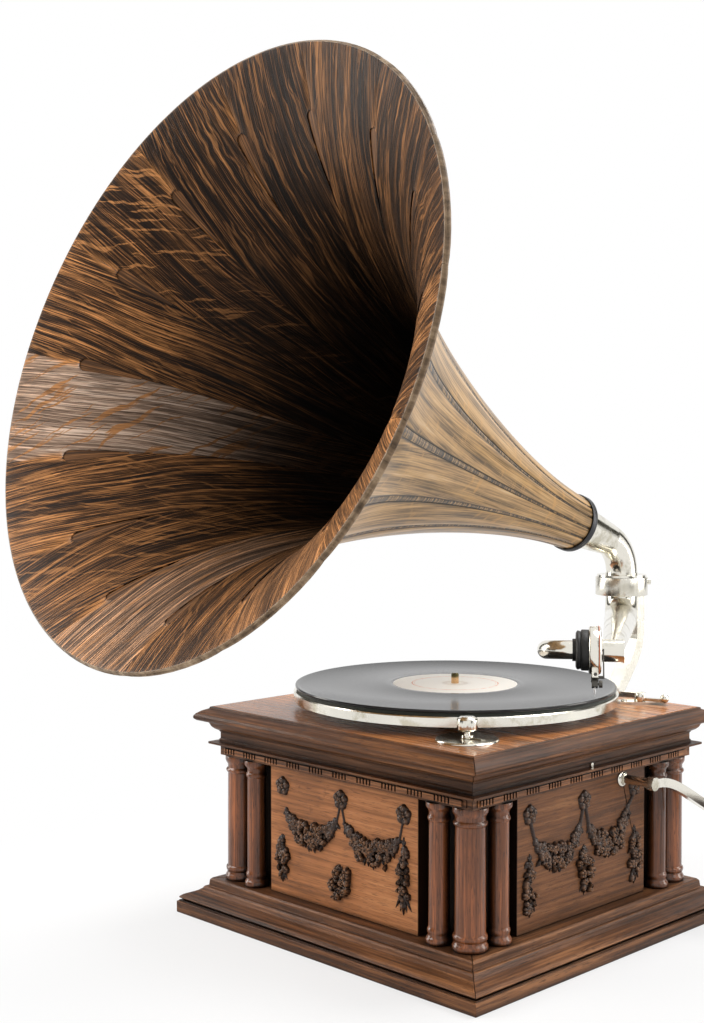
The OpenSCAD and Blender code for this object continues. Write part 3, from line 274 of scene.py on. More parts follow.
class Finish(Nodes):
    """A procedural material round one Principled shader."""

    def __init__(self, name, **constants):
        self.material = bpy.data.materials.new(name)
        super().__init__(self.material)
        self.shader = self.node("ShaderNodeBsdfPrincipled")
        self.output = self.node("ShaderNodeOutputMaterial", values={0: self.shader})
        for name, value in constants.items():
            self.feed(name, value)

    def feed(self, name, value):
        """Sets or links one of the shader's inputs, such as base_color."""
        title = name.replace("_", " ").title().replace("Ior", "IOR")
        target = self.shader.socket.node.inputs[title]
        if isinstance(value, Value):
            self.tree.links.new(value.socket, target)
        elif target.type == "RGBA":
            target.default_value = (*value, 1.0)
        else:
            target.default_value = value

    def surface(self, shade, roughness, height, distance, strength):
        """Feeds the colour, the roughness and the bump, and gives the finish."""
        self.feed("base_color", shade)
        self.feed("roughness", roughness)
        self.bump(height, distance, strength)
        return self

    def bump(self, height, distance, strength):
        self.feed("normal", self.node("ShaderNodeBump", values={
            "Height": height, "Distance": distance, "Strength": strength}))

    def place(self):
        return self.node("ShaderNodeTexCoord", output=3)

    def attribute(self, name, output=1):
        return self.node("ShaderNodeAttribute", {"attribute_name": name}, output=output)

    def number(self, name):
        return self.attribute(name, output=2)

    def split(self, vector):
        first = self.node("ShaderNodeSeparateXYZ", values={0: vector})
        return [Value(self, socket) for socket in first.socket.node.outputs]

    def height(self):
        """Height over the table."""
        return self.split(self.place())[2]

    def radius(self):
        """Distance from the turntable's axis, which is the frame's Z axis."""
        x, y = self.split(self.place())[:2]
        return (x * x + y * y) ** 0.5

    def noise(self, vector, scale=1.0, detail=2.0, roughness=0.5, distortion=0.0):
        """Cloudy noise; the place may also be given as its three coordinates."""
        if isinstance(vector, tuple):
            vector = self.node("ShaderNodeCombineXYZ", values=dict(enumerate(vector)))
        return self.node("ShaderNodeTexNoise", values={
            "Vector": vector, "Scale": scale, "Detail": detail,
            "Roughness": roughness, "Distortion": distortion})

    def step(self, value, low, high):
        """0 below low, 1 above high and smooth between them."""
        return self.node("ShaderNodeMapRange", {"interpolation_type": "SMOOTHSTEP"}, {
            "Value": value, "From Min": low, "From Max": high})

    def window(self, value, rise, fall):
        """1 between a rise and a fall, each a pair of values, and 0 outside them."""
        return self.step(value, *rise) * (1 - self.step(value, *fall))

    def line(self, value, middle, inner, outer):
        """1 within inner of the middle, and 0 beyond outer."""
        return 1 - self.step(abs(value - middle), inner, outer)

    def ramp(self, factor, *stops):
        return self.node("ShaderNodeValToRGB", {"stops": stops}, {0: factor})

    def mix(self, factor, first, second):
        """A Mix node for colours."""
        full = [c if isinstance(c, Value) else (*c, 1.0) for c in (first, second)]
        return self.node("ShaderNodeMix", {"data_type": "RGBA"},
                         {0: factor, 6: full[0], 7: full[1]}, output=2)

    def scale(self, shade, factor):
        return self.node(
            "ShaderNodeVectorMath", {"operation": "SCALE"}, {0: shade, "Scale": factor})

    def corner_shade(self, distance, closed, clear):
        """How much painted shade a place takes: 1 deep in a corner and 0 in the open."""
        light = self.node(
            "ShaderNodeAmbientOcclusion", {"samples": 6}, {"Distance": distance}, output=1)
        return 1 - self.step(light, closed, clear)


# --------------------------------------------------------------------------
# Finishes
# --------------------------------------------------------------------------


def oak(name, tones, grain, gloss=0.42, coat=0.0, shade_reach=0.012, contrast=1.0, specular=0.2,
        edge=None):
    """Stained oak of a dark, a middle and a light tone. grain is round for lengths that follow
    the cabinet's four sides, or the axis that the board's fibres follow. The argument after coat
    is how far the painted shade of a corner reaches out of it, and edge is where a panel's side
    faces are painted dark, as painted shade in the gap beside them."""
    dark, middle, light = tones
    f = Finish(name, coat_roughness=0.14, specular_ior_level=specular, coat_weight=coat)
    place = f.place()
    x, y, z = f.split(place)
    if grain == "round":
        side = abs(x) > abs(y)
        u, v, w = y * side + x * (1 - side), x * side + y * (1 - side), z
    elif grain == "x":
        u, v, w = x, y, z
    else:
        u, v, w = z, x, y
    streaks = f.noise((u * 2.6, v * 62, w * 62), detail=5, roughness=0.62, distortion=0.5)
    fibres = f.noise((u * 11, v * 430, w * 430), detail=3, roughness=0.6)
    pores = f.step(f.noise((u * 85, v * 1500, w * 1500), detail=2), 0.56, 0.68)
    patches = f.noise(place, 7.0, 3, 0.55)
    level = (streaks - 0.5) * contrast + (fibres - 0.5) * (1.1 * contrast) \
        + (patches - 0.5) * 0.55 + 0.5
    wood = f.ramp(level, (0.24, dark), (0.42, tone(middle, 0.6)), (0.54, middle), (0.76, light))
    wood = f.mix(pores * 0.6, wood, tone(dark, 0.7))
    nicks = f.step(f.noise(place, 55.0, 4, 0.6), 0.66, 0.74)
    wood = f.mix(nicks * 0.5, wood, dark)
    # A panel's side faces are painted dark, as painted shade in the gap beside them.
    if edge:
        wood = f.mix(f.step(abs(u), *edge), wood, tone(dark, 0.12))
    # Painted shade: corners and recesses darken toward the dark tone.
    wood = f.mix(f.corner_shade(shade_reach, 0.30, 0.95), wood, tone(dark, 0.35))
    return f.surface(wood, fibres * 0.22 + patches * 0.14 + (gloss - 0.18),
                     fibres * 0.5 + pores * -0.6 + streaks * 0.3, 0.00022, 0.75)


def oak_tones(kind, dark=1.0, middle=1.0, light=1.0):
    """The three tones of the oak or panel colours, each darker or lighter by a factor."""
    return (paint(kind + "_dark", dark), paint(kind + "_middle", middle),
            paint(kind + "_light", light))


def carved_oak():
    """Dark stain, lightened by rubbing to the colour of the panel on the high places, where it
    also serves as a painted highlight.
    """
    f = Finish("carved_oak", specular_ior_level=0.2, coat_weight=0.25, coat_roughness=0.18)
    mottled = f.noise(f.place(), 260.0, 4, 0.6)
    rubbed_and_highlight = f.step(f.number("height"), 0.22, 0.80) * f.step(mottled, 0.36, 0.58)
    wood = f.mix(rubbed_and_highlight * 0.85, paint("carving", 1.1), (0.300, 0.140, 0.062))
    # Painted shade: the carving's crevices are painted nearly black.
    wood = f.mix(f.corner_shade(0.003, 0.4, 0.97), wood, paint("carving", 0.12))
    return f.surface(wood, mottled * 0.3 + 0.22, mottled, 0.0002, 0.8)


def horn_inside():
    """Dark quarter-sawn oak. The figure of a stave is the angle between its rays and its
    grain, how many rays it has, and its tone, which is partly painted light."""
    dark, fleck = paint("horn_dark"), paint("horn_fleck")
    f = Finish("horn_inside_oak", coat_roughness=0.30, specular_ior_level=0.10)
    w, s, board = f.split(f.attribute("grain"))
    turn, amount, depth = f.split(f.attribute("figure"))
    shift = board * 7.31
    bend = f.noise((w * 9, s * 5, shift), detail=1)
    curved = w + (bend - 0.5) * 0.025
    streaks = f.noise((curved * 360, s * 4.2, shift), detail=4, roughness=0.66,
                      distortion=0.15)
    fibres = f.noise((curved * 1050, s * 12, shift), detail=4, roughness=0.66)
    pores = f.step(f.noise((curved * 1300, s * 34, shift), detail=2), 0.52, 0.60)
    broad = f.noise((curved * 60, s * 2.6, shift + 5), detail=3)

    # A stave with few rays is calmer: its grain varies less.
    calm = (1 - f.step(amount, 0.22, 0.34)) * 0.62
    level = ((streaks - 0.5) * 1.15 + (fibres - 0.5) * 2.6 + (broad - 0.5) * 0.9) * (1 - calm) \
        + calm * 0.10 + 0.42
    wood = f.ramp(level, (0.22, dark),
                  *shades("horn_light", (0.42, 0.20), (0.55, 0.55), (0.70, 1.15)), (0.95, fleck))

    # The rays lie at the figure's angle to the grain.
    along = s * turn.cosine() + w * turn.sine()
    over = w * turn.cosine() - s * turn.sine()
    ripple = f.noise((over * 26, along * 34, shift + 2), detail=2)
    lines = f.noise((over * 230 + (ripple - 0.5) * 3.4, along * 16, shift + 3),
                    detail=2, roughness=0.5)
    rays = f.step(lines, 0.575, 0.635) * f.step(fibres + (streaks - 0.5) * 0.4, 0.30, 0.48)
    shade = 1 - f.step(0.5 - lines, 0.08, 0.16) * amount * 0.5
    # The tone scales the colour: darker upper staves and lighter lower ones, partly painted
    # light.
    wood = f.scale(wood, depth * shade)

    # The palest stave carries a painted sheen, a pale painted reflection, in the outer half of
    # the bell.
    painted_sheen = f.step(s, 0.26, 0.42) * (1 - f.step(s, 0.52, 0.63) * 0.65)
    pale = f.ramp(level, (0.25, (0.340, 0.220, 0.150)), (0.48, (0.720, 0.490, 0.345)),
                  (0.72, (0.980, 0.750, 0.590)))
    wood = f.mix(f.step(depth, 2.5, 2.9) * painted_sheen, wood, pale)
    wood = f.mix(rays * amount, wood, fleck)

    # The gouged stops are lighter: partly newly cut wood, partly a painted highlight on their
    # slopes.
    grain_light = f.step(fibres + (streaks - 0.5) * 0.5, 0.40, 0.58)
    fresh_and_highlight = f.scale(tone(fleck, 1.35), f.step(depth, 0.3, 1.5) * 0.75 + 0.25)
    wood = f.mix(f.number("scoop") * (grain_light * 0.4 + 0.6), wood, fresh_and_highlight)
    wood = f.mix(pores * 0.6, wood, dark)

    # The throat is nearly black: painted shade that deepens toward it.
    # The mask below is 1 toward the rim and falls to 0 at the throat, where the painted shade is
    # darkest.
    worn = f.step(s + (streaks - 0.5) * 0.16, 0.29, 0.60)
    wood = f.scale(wood, worn * 0.96 + 0.04)
    f.feed("coat_weight", worn * 0.06)
    return f.surface(wood, fibres * 0.25 + 0.34, fibres * 0.7 + streaks * 0.5 + pores * -0.7,
                     0.00045, 0.9)


def horn_outside():
    """Golden oak with dark joints, small ray flecks and painted shade in its hollows."""
    f = Finish("horn_outside_oak", coat_weight=0.12, coat_roughness=0.12,
               specular_ior_level=0.25)
    w, s, board = f.split(f.attribute("grain"))
    shift = board * 5.17 + 60
    streaks = f.noise((w * 120, s * 4, shift), detail=5, roughness=0.65)
    fibres = f.noise((w * 700, s * 14, shift), detail=3)
    patches = f.noise((w * 22, s * 12, shift), detail=4, roughness=0.65, distortion=0.6)
    level = (streaks - 0.5) * 1.6 + (fibres - 0.5) * 1.2 + (patches - 0.5) * 0.5 + 0.50
    tones = shades("horn_outside", (0.15, 0.20), (0.36, 0.48), (0.54, 0.85), (0.75, 1.2))
    wood = f.ramp(level, *tones, (1.0, (0.70, 0.50, 0.28)))
    lines = f.noise((w * 50 + s * 30, s * 120, shift + 4), detail=2)
    rays = f.step(lines, 0.58, 0.66) * f.step(patches, 0.45, 0.6)
    joint = paint("horn_outside", 0.06)
    wood = f.mix(rays * 0.5, wood, (0.66, 0.36, 0.12))
    wood = f.mix(f.step(f.number("edge"), 0.90, 0.99), wood, joint)
    # Painted shade: hollows and corners take the joints' dark colour.
    wood = f.mix(f.corner_shade(0.004, 0.35, 0.95), wood, joint)
    return f.surface(wood, patches * 0.25 + 0.22, fibres * 0.6 + streaks * 0.4, 0.00025, 0.7)


def spear_outside():
    """Strips cut across the rays, so that short bars cross them."""
    f = Finish("spear_oak", coat_weight=0.3, coat_roughness=0.25)
    w, s, board = f.split(f.attribute("grain"))
    shift = board * 3.7
    bars = f.noise((w * 30 + s * 60, s * 330, shift), detail=2, roughness=0.6)
    fibres = f.noise((w * 800, s * 25, shift), detail=2)
    level = (bars - 0.5) * 2.4 + (fibres - 0.5) * 0.8 + 0.42
    wood = f.ramp(level, *shades("horn_outside", (0.18, 0.07), (0.45, 0.30), (0.8, 0.85)))
    return f.surface(wood, bars * 0.3 + 0.3, bars + fibres * 0.5, 0.0002, 0.7)


def plain_oak(name, grain, detail, stops, roughness, distance, strength):
    """Oak without rays. grain is how fine its fibres are across and along, and how far they
    shift from one piece to the next."""
    f = Finish(name, specular_ior_level=0.2)
    w, s, board = f.split(f.attribute("grain"))
    fibres = f.noise((w * grain[0], s * grain[1], board * grain[2]), detail=4, roughness=detail)
    return f.surface(f.ramp(fibres, *stops), fibres * 0.3 + roughness, fibres, distance, strength)


def spear_inside():
    stops = shades("horn_light", (0.32, 0.06), (0.48, 0.26), (0.60, 0.7), (0.72, 1.2))
    return plain_oak("spear_tip_oak", (640, 12, 9.1), 0.65, stops, 0.32, 0.0003, 0.8)


def horn_rim():
    stops = ((0.30, (0.060, 0.038, 0.022)), (0.50, (0.220, 0.145, 0.085)),
             (0.70, (0.430, 0.310, 0.195)))
    return plain_oak("horn_rim_oak", (90, 400, 2.3), 0.7, stops, 0.25, 0.0002, 0.6)


def polished(name, roughness, scale=45.0):
    """Metal with fine polishing marks and no colour yet; gives its clouds as well."""
    f = Finish(name)
    cloud = f.noise(f.place(), scale, 4, 0.6)
    fine = f.noise(f.place(), scale * 26, 2, 0.6)
    f.feed("roughness", cloud * 0.16 + fine * 0.05 + (roughness - 0.08))
    f.bump(cloud + fine * 0.15, 0.00012, 0.5)
    return f, cloud


def metal(name, base, roughness, spots=0.25, scale=45.0):
    """Plated or turned metal with thin tarnish."""
    f, cloud = polished(name, roughness, scale)
    stain = f.step(cloud, 0.50, 0.70) * spots
    f.feed("base_color", f.mix(stain, base, (base[0] * 0.42, base[1] * 0.38, base[2] * 0.25)))
    f.feed("metallic", 1 - stain * 0.3)
    return f


def platter_nickel():
    """Plated on the rim, with brown spots, and painted near black underneath, as painted shade
    under the rim.
    """
    f = polished("platter_nickel", 0.15, 30.0)[0]
    cloud = f.noise(f.place(), 60.0, 4, 0.6)
    # Painted shade: below this height the platter is near black and not metallic.
    under = 1 - f.step(f.height(), *PLATTER_SHADED_UNDERSIDE)
    plate = f.mix(f.step(cloud, 0.50, 0.68) * 0.45, paint("nickel"), (0.42, 0.36, 0.20))
    bare = f.mix(cloud, (0.010, 0.009, 0.008), (0.026, 0.022, 0.018))
    f.feed("base_color", f.mix(under, plate, bare))
    f.feed("metallic", 1 - under)
    return f


def spindle_metal():
    """Brass pin, browned where the records rub its top."""
    f, cloud = polished("spindle_brass", 0.2)
    mottled = f.noise(f.place(), 500.0, 3, 0.6)
    brown = f.mix(mottled, (0.03, 0.03, 0.02), (0.20, 0.17, 0.07))
    f.feed("base_color", f.mix(f.step(f.height(), *SPINDLE_TIP), (0.66, 0.42, 0.22), brown))
    f.feed("metallic", 1 - f.step(cloud, 0.50, 0.70) * 0.25 * 0.3)
    return f


def dial_nickel():
    """Nickel plate with an engraved scale of short strokes round its edge."""
    f = polished("dial_nickel", 0.16)[0]
    x, y = f.split(f.place())[:2]
    low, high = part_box("speed_dial")
    centre = (low + high) / 2
    dx, dy = x - centre.x, y - centre.y
    radius = (dx * dx + dy * dy) ** 0.5
    turn = dy.math("ARCTAN2", dy, dx)
    stroke = f.line((turn * (DIAL_STROKES / (2 * math.pi))) % 1, 0.5, 0.10, 0.16)

    # The scale stays open on the side of the turntable.
    arc = 1 - f.step(abs(turn + math.pi / 4), 1.75, 1.80)
    engraved = stroke * f.window(radius, DIAL_SCALE_START, DIAL_SCALE_END) * arc \
        + f.line(radius, DIAL_LINE, 0.0002, 0.0004) * arc
    f.feed("base_color", f.mix(engraved, paint("nickel"), (0.02, 0.018, 0.015)))
    f.feed("metallic", 1 - engraved * 0.8)
    return f


def shellac():
    """Record compound with fine grooves between a smooth edge and the run-out."""
    f = Finish("record_shellac", specular_ior_level=0.35)
    radius = f.radius()
    lines = f.window(radius, GROOVES_START, GROOVES_END) * f.step(f.height(), *RECORD_FACE)
    ring = f.noise((radius * 1500, 0, 0), detail=2, roughness=0.7)
    broad = f.noise((radius * 160, 0, 0), detail=3, roughness=0.6)
    dust = f.step(f.noise(f.place(), 420.0, 4, 0.65), 0.60, 0.76)
    black = f.mix(dust * 0.12 + lines * 0.05, paint("shellac"), (0.20, 0.20, 0.21))
    return f.surface(black, lines * (broad * 0.16 + 0.16) + dust * 0.2 + 0.17, ring * lines,
                     0.00024, 0.8)


def label_paper():
    """Bare label: plain paper with one thin printed ring, and no words."""
    f = Finish("label_paper", specular_ior_level=0.3)
    radius = f.radius()
    fibres = f.noise(f.place(), 900.0, 3, 0.6)
    ring = f.line(radius, LABEL_RING, 0.0004, 0.0007) \
        + f.line(radius, LABEL_HAIRLINE, 0.0001, 0.0004) * 0.5
    rub = f.step(f.noise(f.place(), 160.0, 4, 0.6), 0.3, 0.62)
    worn = f.line(radius, LABEL_WEAR, 0.001, 0.004)
    paper = f.mix(fibres, paint("label", 0.95), paint("label", 1.05))
    paper = f.mix(ring * rub, paper, paint("label_ring"))
    paper = f.mix(worn * 0.25, paper, (0.42, 0.30, 0.20))
    return f.surface(paper, fibres * 0.15 + 0.42, fibres, 0.00005, 0.5)


def soft(name, base, scale, roughness, distance, sheen=0.0):
    """Felt, leather or rubber: cloudy, with short hairs or pores."""
    f = Finish(name, sheen_weight=sheen)
    cloud = f.noise(f.place(), scale, 5, 0.7)
    hair = f.noise(f.place(), scale * 5, 3, 0.6, 1.0)
    return f.surface(f.mix(cloud, tone(base, 0.6), tone(base, 1.5)), hair * 0.12 + roughness,
                     hair + cloud, distance, 0.9)


def handle_wood():
    """Black-stained turned hardwood."""
    f = Finish("handle_wood", coat_weight=0.6, coat_roughness=0.12)
    x, y, z = f.split(f.place())
    grain = f.noise((x * 14, y * 500, z * 500), detail=4, roughness=0.6)
    wood = f.ramp(grain, (0.35, (0.008, 0.005, 0.004)), (0.72, (0.060, 0.026, 0.013)))
    return f.surface(wood, grain * 0.25 + 0.2, grain, 0.0002, 0.6)


def diaphragm():
    """Mica disc between two orange rubber rings."""
    f = Finish("mica", coat_weight=0.6, coat_roughness=0.08)
    low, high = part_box("diaphragm")
    away = f.node("ShaderNodeVectorMath", {"operation": "DISTANCE"},
                  {0: f.place(), 1: tuple((low + high) / 2)}, output=1)
    outside = f.step(away, *MICA_EDGE)
    flake = f.noise(f.place(), 380.0, 5, 0.7, 1.5)
    mica = f.ramp(flake, (0.3, (0.16, 0.11, 0.06)), (0.55, (0.34, 0.27, 0.17)),
                  (0.8, (0.55, 0.48, 0.36)))
    ring = f.mix(flake, paint("gasket", 0.7), paint("gasket", 1.2))
    return f.surface(f.mix(outside, mica, ring), flake * 0.15 + outside * 0.3 + 0.1, flake,
                     0.0001, 0.5)


FINISHES = {
    "cabinet_oak": lambda: oak("cabinet_oak", oak_tones("oak"), "round", contrast=0.75),
    # The bead row is a lighter copy of the cabinet oak: partly its own tone, partly a painted
    # highlight on the beads.
    "beaded_oak": lambda: oak("beaded_oak", oak_tones("oak", 1.0, 1.8, 1.4), "round",
                              shade_reach=0.009),
    # The carcass walls behind the columns are painted nearly black, as painted shade for the deep
    # recess.
    "recess_oak": lambda: oak("recess_oak", oak_tones("oak", 0.3, 0.12, 0.12), "z",
                              specular=0.1),
    "column_oak": lambda: oak(
        "column_oak", (paint("oak_dark"), paint("column", 0.36), paint("column")), "z",
        gloss=0.30, coat=0.6, contrast=0.5, shade_reach=0.022),
    "board_oak": lambda: oak(
        "top_board_oak",
        (paint("board_middle", 0.35), paint("board_middle"), paint("board_light")), "x",
        gloss=0.28, coat=0.24, contrast=0.7, specular=0.12),
    "panel_oak": lambda: oak("panel_oak", oak_tones("panel"), "round", contrast=0.42,
                             shade_reach=0.007, edge=PANEL_SHADED_SIDE),
    # The side panels are a darker copy of the panel oak: partly their own darker tone, partly
    # painted shade for the sides that take less light.
    "side_panel_dark_and_shaded_oak": lambda: oak("panel_side_oak", oak_tones("panel", 0.5, 0.47, 0.52), "round",
                                  contrast=0.6, shade_reach=0.009, edge=PANEL_SHADED_SIDE),
    "carved_oak": carved_oak,
    "horn_inside": horn_inside,
    "horn_outside": horn_outside,
    "horn_rim": horn_rim,
    "spear_outside": spear_outside,
    "spear_inside": spear_inside,
    "nickel": lambda: metal("nickel_plate", paint("nickel"), 0.13, 0.5),
    "bracket_nickel": lambda: metal("cast_nickel", paint("nickel", 0.94), 0.24, 0.35, 30.0),
    "platter_nickel": platter_nickel,
    "dial_nickel": dial_nickel,
    "steel": lambda: metal("steel", (0.46, 0.46, 0.47), 0.26),
    "dark_steel": lambda: metal("dark_steel", (0.10, 0.095, 0.085), 0.3, 0.4, 120.0),
    "iron": lambda: metal("iron", (0.055, 0.056, 0.060), 0.42, 0.5),
    "brass": lambda: metal("brass", (0.62, 0.42, 0.16), 0.24),
    "spindle": spindle_metal,
    "shellac": shellac,
    "label": label_paper,
    "felt": lambda: soft("felt", paint("felt"), 300.0, 0.85, 0.0006, 0.4),
    "leather": lambda: soft("brake_leather", (0.16, 0.075, 0.03), 700.0, 0.6, 0.0003),
    "gasket": lambda: soft("gasket_rubber", paint("gasket"), 500.0, 0.5, 0.0001),
    "rubber": lambda: soft("rubber", (0.010, 0.010, 0.010), 260.0, 0.42, 0.0002),
    "handle": handle_wood,
    "mica": diaphragm,
}
made_finishes = {}


def finish_named(name):
    """The material of this name, made at its first use."""
    if name not in made_finishes:
        made_finishes[name] = FINISHES[name]().material
    return made_finishes[name]


# --------------------------------------------------------------------------
# Meshes
# --------------------------------------------------------------------------


def new_piece(name, points, faces, body, slot, finishes, replaced=(), picks=None, sharp=35):
    """A mesh piece on a body. picks gives each face's finish by its place in finishes, and
    sharp is the angle in degrees from which an edge shows as one."""
    mesh = bpy.data.meshes.new(name)
    mesh.from_pydata([tuple(p) for p in points], [], [tuple(f) for f in faces])
    if mesh.validate():
        raise RuntimeError(name + ": the mesh has faces that cannot be")
    for finish in finishes:
        mesh.materials.append(finish_named(finish))
    if picks is not None:
        mesh.polygons.foreach_set("material_index", list(picks))
    mesh.shade_smooth()
    mesh.set_sharp_from_angle(angle=math.radians(sharp))
    piece = bpy.data.objects.new(name, mesh)
    bpy.context.scene.collection.objects.link(piece)
    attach(piece, body)
    if replaced:
        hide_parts(*replaced)
    return piece


def add_values(piece, name, values):
    """A number or a vector at each point, for the finish to read."""
    values = np.asarray(values, np.float32)
    kind, field = ("FLOAT", "value") if values.ndim == 1 else ("FLOAT_VECTOR", "vector")
    layer = piece.data.attributes.new(name, kind, "POINT")
    layer.data.foreach_set(field, values.ravel())


def around(radius, turn, height, place=Matrix.Identity(4)):
    """The point at a radius, turn and height round a place's Z axis."""
    return place @ Vector((radius * math.cos(turn), radius * math.sin(turn), height))


def lathe(profile, segments, place=Matrix.Identity(4)):
    """Points and faces of a closed profile [(radius, height)] turned round its axis."""
    points, faces = [], []
    n = len(profile)
    for k in range(segments):
        points += [around(r, 2 * math.pi * k / segments, h, place) for r, h in profile]
    for k in range(segments):
        a, b = k * n, (k + 1) % segments * n
        for i in range(n):
            j = (i + 1) % n
            faces.append((a + i, b + i, b + j, a + j))
    return points, faces


def tube_faces(start, rings, size):
    """Faces of a closed tube through rings of points, and then its two ends."""
    faces = []
    for a in range(start, start + (rings - 1) * size, size):
        for k in range(size):
            m = (k + 1) % size
            faces.append((a + k, a + m, a + size + m, a + size + k))
    last = start + (rings - 1) * size
    return [*faces, tuple(reversed(range(start, start + size))), tuple(range(last, last + size))]


def dress(finish, *nodes, edge=0.0):
    """Gives CAD nodes a finish, and a rounded edge where one is asked for."""
    for node in nodes:
        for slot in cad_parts[node].material_slots:
            slot.material = finish_named(finish)
        if edge:
            soften(node, edge)


def soften(node, width):
    """Rounds a CAD node's sharp edges with modifiers, and leaves its mesh alone."""
    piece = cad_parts[node]
    weld = piece.modifiers.new("weld", "WELD")
    weld.merge_threshold = 1e-6
    bevel = piece.modifiers.new("worn_edges", "BEVEL")
    bevel.width = width
    bevel.segments = 2
    bevel.limit_method = "ANGLE"
    bevel.angle_limit = math.radians(38)
    bevel.use_clamp_overlap = True
    bevel.harden_normals = True


# --------------------------------------------------------------------------
# Carved ornament
# --------------------------------------------------------------------------


class Relief:
    """Carving as heights over a panel's face, on a fine grid. Lengths in millimetres."""

    HALF_WIDTH, BOTTOM, TOP = 88, 38, 145
    # The least height that is kept, and the height that the finish takes as 1
    LEAST, FULL = 0.02, 6

    def __init__(self, pitch, seed):
        self.xs = np.arange(-self.HALF_WIDTH, self.HALF_WIDTH, pitch)
        self.zs = np.arange(self.BOTTOM, self.TOP, pitch)
        self.height = np.zeros((len(self.xs), len(self.zs)))
        self.rng = random.Random(seed)

    def stamp(self, x, z, reach, shape):
        """Raises the relief to shape(dx, dz) round one point."""
        i0, i1 = np.searchsorted(self.xs, (x - reach, x + reach))
        j0, j1 = np.searchsorted(self.zs, (z - reach, z + reach))
        if i1 <= i0 or j1 <= j0:
            return
        dx, dz = np.meshgrid(self.xs[i0:i1] - x, self.zs[j0:j1] - z, indexing="ij")
        window = self.height[i0:i1, j0:j1]
        np.maximum(window, shape(dx, dz), out=window)

    def ball(self, x, z, r, height):
        """A berry with a small dent in its middle."""
        def shape(dx, dz):
            d = (dx * dx + dz * dz) / (r * r)
            return height * np.sqrt(np.clip(1 - d, 0, 1)) * (1 - 0.25 * np.exp(-d * 18))
        self.stamp(x, z, r, shape)

    def leaf(self, x, z, turn, length, width, height):
        """A leaf from its stalk at (x, z), with a middle vein and side veins."""
        ca, sa = math.cos(turn), math.sin(turn)

        def shape(dx, dz):
            a = (dx * ca + dz * sa) / length
            across = -dx * sa + dz * ca
            inside = (a > 0) & (a < 1)
            a = np.clip(a, 1e-3, 1)
            half = width / 2 * np.sin(math.pi * a ** 0.75) * (1 + 0.12 * np.cos(a * 30))
            b = np.abs(across) / np.maximum(half, 1e-3)
            body = np.sqrt(np.clip(1 - b * b, 0, 1)) * (0.45 + 0.55 * np.sin(math.pi * a))
            vein = 1 - 0.45 * np.exp(-(across / 0.32) ** 2)
            side = 1 + 0.10 * np.cos(2 * math.pi * (a * 6 - b * 0.8))
            return np.where(inside, height * body * vein * side, 0)
        self.stamp(x, z, length * 1.05, shape)

    def flower(self, x, z, r, height, petals, turn):
        """A cupped blossom with creases between its petals and a berry in its middle."""
        def shape(dx, dz):
            rho = np.hypot(dx, dz)
            wave = np.abs(np.cos(petals / 2 * (np.arctan2(dz, dx) - turn)))
            d = rho / (r * (0.72 + 0.28 * wave ** 0.6))
            cup = np.sqrt(np.clip(1 - d ** 4, 0, 1)) * (0.62 + 0.38 * d)
            crease = 1 - 0.45 * (1 - wave) ** 3 * np.clip(d * 1.6, 0, 1)
            return height * cup * crease
        self.stamp(x, z, r, shape)
        self.ball(x, z, r * 0.30, height * 1.18)

    def cord(self, x0, z0, x1, z1, r, height):
        """A twisted cord, as a row of beads."""
        steps = max(2, int(math.hypot(x1 - x0, z1 - z0) / (r * 0.9)))
        for i in range(steps + 1):
            t = i / steps
            self.ball(x0 + (x1 - x0) * t, z0 + (z1 - z0) * t, r * (1 + 0.25 * (i % 2)), height)

    def rosette(self, x, z):
        """Five round petals with a berry between each two, and a flower on top."""
        for k in range(5):
            a = 0.3 + k * 2 * math.pi / 5
            self.ball(x + 5.4 * math.cos(a), z + 5.4 * math.sin(a), 3.5, 3.2)
            self.ball(x + 6.4 * math.cos(a + 0.63), z + 6.4 * math.sin(a + 0.63), 1.6, 1.6)
        self.ball(x, z, 4.6, 2.0)
        self.flower(x, z, 3.4, 4.4, 5, 0.9)

    def cluster(self, x, z, half, lift):
        """One blossom, fruit or leaf near a point of a swag or drop."""
        rng = self.rng
        px, pz = x + rng.uniform(-1, 1) * half, z + rng.uniform(-1, 1) * half
        pick = rng.random()
        if pick < 0.34 and half > 2:
            self.flower(px, pz, rng.uniform(3.0, 5.0), lift * rng.uniform(0.75, 1.0),
                        rng.choice((5, 6)), rng.uniform(0, 6))
        elif pick < 0.66:
            self.ball(px, pz, rng.uniform(1.7, 3.1), lift * rng.uniform(0.7, 1.0))
        else:
            self.leaf(px, pz, -math.pi / 2 + rng.uniform(-1.1, 1.1), rng.uniform(5, 8),
                      rng.uniform(2.6, 4), lift * rng.uniform(0.55, 0.85))

    def swag(self, x0, z0, x1, z1, lowest):
        """A garland that hangs between two points and is fullest in the middle."""
        rng = self.rng
        thick, blossoms, leaves = 13.0, 130, 15
        sag = (z0 + z1) / 2 - lowest - thick * 0.9

        def hang(t):
            return x0 + (x1 - x0) * t, z0 + (z1 - z0) * t - sag * (1 - (2 * t - 1) ** 2)

        for k in range(blossoms):
            t = (k + rng.random()) / blossoms
            swell = math.sin(math.pi * t)
            self.cluster(*hang(t), 1.2 + thick * 0.72 * swell ** 1.4, 2.2 + 3.6 * swell)
        for k in range(leaves):
            t = 0.14 + 0.72 * k / (leaves - 1)
            swell = math.sin(math.pi * t)
            x, z = hang(t)
            self.leaf(x, z - thick * 0.55 * swell, -math.pi / 2 + rng.uniform(-0.35, 0.35),
                      rng.uniform(5, 8) * swell + 1, 2.2, 1.9)

